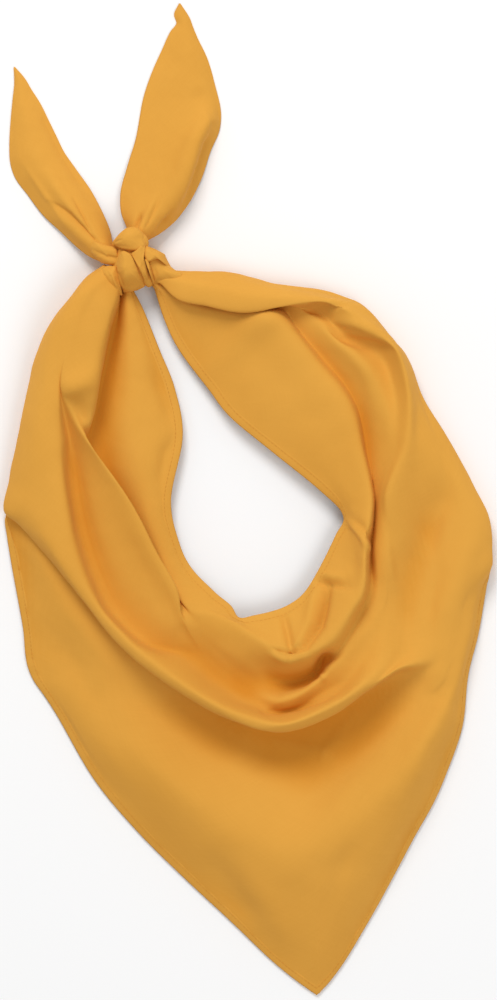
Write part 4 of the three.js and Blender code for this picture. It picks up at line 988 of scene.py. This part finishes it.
# Outer layers of the knot. Each has its middle and its rim as (x, y, height) in the knot's own percents,
# and its creases as (width on the left, width on the right, [(x, y, height in millimetres), ...]).
KNOT_LAYERS = [
    ("cap", (-12, 33, 92), [
        (-35, 26, 64), (-31, 34, 70), (-24, 42, 76), (-16, 49, 78), (-8, 51, 80), (1, 49, 80),
        (9, 42, 76), (12, 34, 72), (13, 22, 78), (9, 16, 84), (1, 13, 86), (-11, 14, 86),
        (-22, 17, 80), (-31, 22, 70),
    ], [
        (0.8, 0.8, [(-35, 25, -1.2), (-28, 29, -1.4), (-19, 31, 0)]),
        (1, 1, [(-31, 22, -0.8), (-19, 20, -0.8), (-5, 17, 0)]),
        (2.4, 1.2, [(-2, 50, 0), (6, 36, 1.2), (9, 19, 0.8)]),
    ]),
    ("front", (-15, -16, 96), [
        (-22, 13, 88), (-27, 3, 78), (-30, -9, 68), (-31, -20, 60), (-27, -31, 54), (-25, -39, 50),
        (-20, -51, 42), (-11, -50, 46), (1, -47, 48), (12, -41, 48), (9, -32, 64), (3, -20, 84),
        (-2, -8, 92), (-6, 3, 94), (-10, 9, 94), (-17, 13, 92),
    ], [
        (3, 2, [(-15, 11, 0), (-19, -13, 0.8), (-22, -38, 0)]),
        (3, 3, [(-9, -25, 0), (-5, -38, -1.0), (1, -45, -0.6)]),
    ]),
    ("strap", (5, -13, 92), [
        (-9, 9, 86), (-4, 0, 90), (0, -11, 86), (4, -22, 76), (9, -32, 60), (13, -41, 46),
        (21, -38, 42), (20, -31, 52), (17, -20, 68), (13, -9, 82), (10, 2, 90), (12, 16, 84),
        (12, 23, 80), (5, 21, 90), (-1, 14, 92),
    ], [
        (0.8, 0.9, [(4, 6, 0), (8, -11, -1.3), (14, -33, -1.1)]),
        (1.5, 1.5, [(2, 16, 0), (2, -3, -0.5), (8, -22, -0.5)]),
    ]),
    ("thin_strap", (17, -17, 82), [
        (11, 1, 84), (14, -9, 82), (18, -22, 68), (21, -34, 50), (24, -39, 42), (26, -35, 46),
        (23, -23, 64), (20, -13, 76), (17, -3, 82), (14, 1, 84),
    ], []),
    ("flap", (24, 7, 84), [
        (12, 23, 72), (18, 20, 70), (28, 16, 66), (40, 9, 58), (42, 3, 56), (45, -3, 50),
        (50, -13, 42), (47, -14, 48), (41, -5, 60), (34, 0, 72), (25, 0, 82), (18, -4, 84),
        (14, -3, 84), (10, 6, 84), (9, 16, 80),
    ], [
        (1.2, 1.2, [(14, 17, 0), (27, 9, -0.7), (37, 5, 0)]),
    ]),
    ("tuck_right", (34, -17, 70), [
        (17, -4, 74), (22, 2, 72), (30, 3, 66), (40, 0, 58), (47, -9, 54), (55, -16, 56),
        (64, -20, 60), (67, -27, 60), (61, -34, 60), (47, -36, 56), (32, -36, 52), (24, -37, 46),
        (22, -25, 62), (19, -13, 70),
    ], [
        (1, 1.4, [(25, -8, 0), (27, -20, -0.8), (30, -33, 0)]),
        (1.6, 1.6, [(32, -8, 0), (44, -20, 0.6), (58, -27, 0)]),
    ]),
    ("tail_end", (-44, 8, 66), [
        (-64, 31, 50), (-54, 27, 56), (-44, 23, 60), (-35, 21, 62), (-29, 16, 66), (-27, 5, 68),
        (-29, -8, 64), (-40, -8, 58), (-51, -5, 50), (-59, 2, 48), (-66, 11, 46), (-69, 22, 46),
    ], [
        (1.2, 1.6, [(-68, 20, 0), (-55, 11, -1.2), (-42, 5, -1.6), (-30, 3, -1)]),
        (2.5, 2, [(-66, 27, 0), (-48, 17, 0.9), (-32, 13, 0.5)]),
    ]),
    ("tuck_left", (-37, -27, 76), [
        (-51, -11, 58), (-40, -9, 64), (-30, -10, 70), (-26, -25, 70), (-23, -42, 60), (-21, -56, 44),
        (-28, -54, 52), (-35, -47, 60), (-44, -38, 62), (-51, -27, 60), (-55, -17, 56),
    ], [
        (2, 0.8, [(-44, -11, 0), (-35, -28, 1.2), (-27, -50, 0.6)]),
        (1, 1.4, [(-31, -13, 0), (-28, -31, -1), (-24, -50, 0)]),
    ]),
]
LAYER_RIM_POINTS = 120
# Rings of a layer from its middle to its rim as shares of the way, and back inside under the rim as
# (share of the way, depth below the rim in millimetres)
LAYER_RINGS = [0.12, 0.24, 0.36, 0.48, 0.58, 0.67, 0.75, 0.82, 0.88, 0.925, 0.955, 0.975, 0.99, 1.0]
LAYER_UNDER_RINGS = [(0.985, 1.6), (0.94, 3.0), (0.8, 5.0), (0.5, 6.5), (0.2, 7.0)]
# Radius of the rounded rim in millimetres, and the power by which a layer falls from its middle
LAYER_EDGE = 1.7
LAYER_FALL_POWER = 2.2
LAYER_SMOOTHING_TURNS = 3
# The relief fades out near the rim: how fast, and what is left of it there
LAYER_FADE_SPEED = 12
LAYER_FADE_LEFT = 0.3


def layer_rim(corners, centre):
    """Smooth rim through the corners, counter-clockwise seen from above."""
    closed = np.concatenate([corners, corners[:1]])
    length = np.linalg.norm(np.diff(closed, axis=0), axis=1).sum()
    rim = rows_at(closed, resampled(closed, length / LAYER_RIM_POINTS)[:-1])[:LAYER_RIM_POINTS]
    for turn in range(LAYER_SMOOTHING_TURNS):
        rim = rim * 0.5 + (np.roll(rim, 1, axis=0) + np.roll(rim, -1, axis=0)) * 0.25
    if np.cross(rim[0] - centre, rim[1] - centre)[2] < 0:
        rim = rim[::-1]
    return rim


def layer_mesh(middle, corners, creases, seed):
    """Points and faces of a cushion of folded cloth whose rim runs through the corners."""
    centre = knot_point(*middle)
    rim = layer_rim(np.array([knot_point(*corner) for corner in corners]), centre)
    reach = np.linalg.norm((rim - centre)[:, :2], axis=1)
    top = []
    for share in LAYER_RINGS:
        ring = centre + (rim - centre) * share
        ring[:, 2] = centre[2] + (rim[:, 2] - centre[2]) * share ** LAYER_FALL_POWER
        left = np.clip(1 - reach * (1 - share) / LAYER_EDGE, 0, 1)
        ring[:, 2] -= LAYER_EDGE * (1 - np.sqrt(1 - left * left))
        top.append(ring)
    top = np.array(top)
    relief = wrinkles(top, size=7, height=0.3, seed=seed, octaves=2)
    for left_width, right_width, points in creases:
        path = [(*knot_point(x, y, 0)[:2], height) for x, y, height in points]
        relief += line_relief(top, path, left_width, right_width)
    fade = smooth_step((1 - np.array(LAYER_RINGS)) * LAYER_FADE_SPEED + LAYER_FADE_LEFT)
    top[..., 2] += relief * fade[:, None]
    under = []
    for share, depth in LAYER_UNDER_RINGS:
        ring = centre + (rim - centre) * share
        ring[:, 2] = rim[:, 2] - LAYER_EDGE - depth
        under.append(ring)
    foot = [centre[0], centre[1], rim[:, 2].mean() - LAYER_EDGE - LAYER_UNDER_RINGS[-1][1]]
    points = np.concatenate([top.reshape(-1, 3), np.array(under).reshape(-1, 3), [centre, foot]])
    return points, tube_faces(len(top) + len(under), len(rim))


for seed, (name, table) in enumerate(KNOT_WRAPS.items(), 10):
    points, centres = wrap_points(table, seed)
    points = np.concatenate([points.reshape(-1, 3), [centres[0], centres[-1]]])
    along = np.linspace(0, WRAP_CLOTH[0], WRAP_STEPS + 1)
    around = np.linspace(0, WRAP_CLOTH[1], WRAP_SIDES)
    uvs = np.stack(np.meshgrid(along, around, indexing="ij"), axis=-1).reshape(-1, 2)
    uvs = np.concatenate([uvs, [[0, 0], [WRAP_CLOTH[0], 0]]])
    piece = new_object("knot_" + name, points, tube_faces(WRAP_STEPS + 1, WRAP_SIDES), CLOTH, uvs)
    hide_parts("knot")

for seed, (name, middle, corners, creases) in enumerate(KNOT_LAYERS, 50):
    points, faces = layer_mesh(middle, corners, creases, seed)
    piece = new_object("layer_" + name, points, faces, CLOTH, points[:, :2] * MILLIMETRE)
    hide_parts("knot")

# Ball of cloth that fills the space between the wraps: its place and its radii in the knot's own percents
CORE_PLACE = (-6, -6, 43)
CORE_RADII = (30, 37, 38)
CORE_RINGS = 20
CORE_SIDES = 32
CORE_FIRST_RING_ANGLE = 0.12
centre = knot_point(*CORE_PLACE)
radii = np.array(CORE_RADII) * KNOT_SIZE / 100
polar = np.linspace(CORE_FIRST_RING_ANGLE, math.pi - CORE_FIRST_RING_ANGLE, CORE_RINGS)[:, None]
turn = np.linspace(0, 2 * math.pi, CORE_SIDES, endpoint=False)
ball = np.stack([
    np.sin(polar) * np.cos(turn),
    np.sin(polar) * np.sin(turn),
    np.broadcast_to(np.cos(polar), (CORE_RINGS, CORE_SIDES)),
], axis=-1)
ball = ball * radii + centre
ball = ball + (ball - centre) * wrinkles(ball, size=8, height=0.06, seed=31, octaves=2)[..., None]
poles = [centre + [0, 0, radii[2]], centre - [0, 0, radii[2]]]
points = np.concatenate([ball.reshape(-1, 3), poles])
core = new_object(
    "knot_core", points, tube_faces(CORE_RINGS, CORE_SIDES), CLOTH, np.zeros((len(points), 2)),
)
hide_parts("knot")


# Hems: a strip folded round each free edge of the cloth, with a row of stitches near its inner side
STITCH_INSET = 5.4
# Step along the edge from one section of the hem to the next, and the hems' lowest level
HEM_STEP = 1.3
HEM_LOWEST = 0.01
# How high the puckers of each hem are, and how they are stretched
HEM_PUCKER = {"neck": 0.08, "outer": 0.22}
PUCKER_STRETCH = (1, 1, 0.3)
# Cross-section of a hem as [inward from the edge, height above the middle of the cloth]
HEM_SECTION = [
    [HEM_WIDTH, 0.10], [HEM_WIDTH - 0.6, 0.34], [STITCH_INSET + 0.7, 0.40], [STITCH_INSET, 0.30],
    [STITCH_INSET - 0.8, 0.42], [3.0, 0.50], [1.2, 0.52], [0.35, 0.4], [0, 0],
    [0.35, -0.5], [1.2, -0.62], [3.0, -0.6], [STITCH_INSET, -0.5], [HEM_WIDTH - 0.5, -0.5],
    [HEM_WIDTH, -0.20],
]


def along_edge(strip, spacing):
    """Points and normals of a strip at even steps along its edge, and how far inward each point lies."""
    at = resampled(strip[:, 0], spacing)
    points = rows_at(strip, at)
    return points, rows_at(normals_of(strip), at), np.linalg.norm(points - points[:, :1], axis=2)


def at_inset(values, inward, inset):
    """Values at one distance inward from the edge, one for each row."""
    return np.array([
        [np.interp(inset, distances, row[:, axis]) for axis in range(3)]
        for distances, row in zip(inward, values)
    ])


def hem_piece(name, strip, pucker, seed):
    """strip holds the cloth's points from the edge inward, a row for each step along the edge."""
    points, normals, inward = along_edge(strip, HEM_STEP)
    wave = wrinkles(points[:, 0] * PUCKER_STRETCH, size=7, height=pucker, seed=seed, octaves=2)
    sections = []
    for inset, height in HEM_SECTION:
        rise = height + (wave if height > 0 else np.zeros(len(points)))
        sections.append(at_inset(points, inward, inset) + at_inset(normals, inward, inset) * rise[:, None])
    around = np.array(sections).transpose(1, 0, 2)
    around[..., 2] = np.maximum(around[..., 2], HEM_LOWEST)
    ends = [around[0].mean(axis=0), around[-1].mean(axis=0)]
    everything = np.concatenate([around.reshape(-1, 3), ends])
    lengths = np.arange(len(points)) * HEM_STEP * MILLIMETRE
    widths = np.array([inset for inset, _ in HEM_SECTION]) * MILLIMETRE
    uvs = np.stack(np.meshgrid(lengths, widths, indexing="ij"), axis=-1).reshape(-1, 2)
    uvs = np.concatenate([uvs, [[0, 0], [0, 0]]])
    return new_object(name, everything, tube_faces(len(points), len(HEM_SECTION)), CLOTH, uvs)


# Stitches, in millimetres
STITCH_PITCH = 3.0
STITCH_LENGTH = 2.3
THREAD_RADIUS = 0.2
THREAD_SIDES = 6
# Rings of a stitch: share of its length, share of the thread's radius, and rise
STITCH_RINGS = [
    (-0.5, 0.35, -0.10), (-0.32, 0.9, 0.02), (0, 1, 0.06), (0.32, 0.9, 0.02), (0.5, 0.35, -0.10),
]
# How far a stitch's middle lies from the middle of the cloth on its upper and on its lower face
STITCH_LEVELS = ((1, 0.34), (-1, 0.50))
STITCH_TURN = 0.10
POINTS_PER_STITCH = 4


def stitch_faces():
    """Faces of one stitch: its rings and its two flat ends."""
    last = (len(STITCH_RINGS) - 1) * THREAD_SIDES
    start = tuple(range(THREAD_SIDES))[::-1]
    end = tuple(range(last, last + THREAD_SIDES))
    return ring_faces(len(STITCH_RINGS), THREAD_SIDES) + [start, end]


def stitches_piece(name, strip, seed):
    """Row of short threads on both faces of a hem."""
    random = np.random.default_rng(seed)
    points, normals, inward = along_edge(strip, STITCH_PITCH / POINTS_PER_STITCH)
    line = at_inset(points, inward, STITCH_INSET)
    direction = np.gradient(line, axis=0)
    direction /= np.maximum(np.linalg.norm(direction, axis=1, keepdims=True), 1e-9)
    verts = []
    faces = []
    for k in range(2, len(line) - 2, POINTS_PER_STITCH):
        for face, level in STITCH_LEVELS:
            out = normals[k, 2] * face
            side = np.cross(direction[k], out)
            side /= max(np.linalg.norm(side), 1e-9)
            course = direction[k] + side * random.uniform(-STITCH_TURN, STITCH_TURN)
            centre = line[k] + out * level
            if face < 0 and centre[2] < THREAD_RADIUS:
                continue
            faces += [tuple(len(verts) + n for n in ring) for ring in stitch_faces()]
            for share, thick, rise in STITCH_RINGS:
                middle = centre + course * share * STITCH_LENGTH + out * rise
                for q in range(THREAD_SIDES):
                    a = 2 * math.pi * q / THREAD_SIDES
                    verts.append(middle + (side * math.cos(a) + out * math.sin(a)) * THREAD_RADIUS * thick)
    return new_object(name, verts, faces, THREAD, np.array(verts)[:, :2] * MILLIMETRE)


# Columns of the drape that a hem's strip takes in, and the rows inside the knot that it leaves out
HEM_STRIP_COLUMNS = hem_steps + 5
ROWS_WITHOUT_HEM = len(GATHER_SHARES) - 2
hemmed = drape[ROWS_WITHOUT_HEM:-ROWS_WITHOUT_HEM]
strips = {
    "neck": hemmed[:, :HEM_STRIP_COLUMNS],
    "outer": hemmed[::-1, ::-1][:, :HEM_STRIP_COLUMNS],
}
for number, (name, strip) in enumerate(strips.items()):
    hem_piece("hem_" + name, strip, HEM_PUCKER[name], 20 + number)
    stitches_piece("stitches_" + name, strip, 40 + number)


# Table top and light
TABLE_LEVEL = -0.0005
TABLE_REACH = 4
table_top = new_material("table_top")
set_inputs(table_top.node_tree, table_top.node_tree.nodes["Principled BSDF"], {
    "Base Color": (0.97, 0.97, 0.97, 1), "Roughness": 0.9, "Specular IOR Level": 0.1,
})
corners = [
    (x * TABLE_REACH, y * TABLE_REACH, TABLE_LEVEL) for x, y in ((-1, -1), (1, -1), (1, 1), (-1, 1))
]
table_mesh = bpy.data.meshes.new("table")
table_mesh.from_pydata(corners, [], [(0, 1, 2, 3)])
table_mesh.materials.append(table_top)
table = in_scene("table", table_mesh)


def area_light(name, place, size, power):
    """Round lamp that faces the middle of the frame."""
    data = bpy.data.lights.new(name, "AREA")
    data.shape = "DISK"
    data.size = size
    data.energy = power
    light = in_scene(name, data)
    light.location = place
    light.rotation_euler = (-Vector(place)).to_track_quat("-Z", "Y").to_euler()


area_light("key", (-0.7, 2.5, 2.4), size=1.5, power=65)
area_light("fill", (1.6, -1.2, 2.8), size=2.0, power=25)
world = bpy.data.worlds.new("studio")
world.use_nodes = True
background = world.node_tree.nodes["Background"]
set_inputs(world.node_tree, background, {"Color": (1, 1, 1, 1), "Strength": 0.52})
bpy.context.scene.world = world
bpy.context.scene.view_settings.view_transform = "Standard"
bpy.context.scene.view_settings.look = "None"
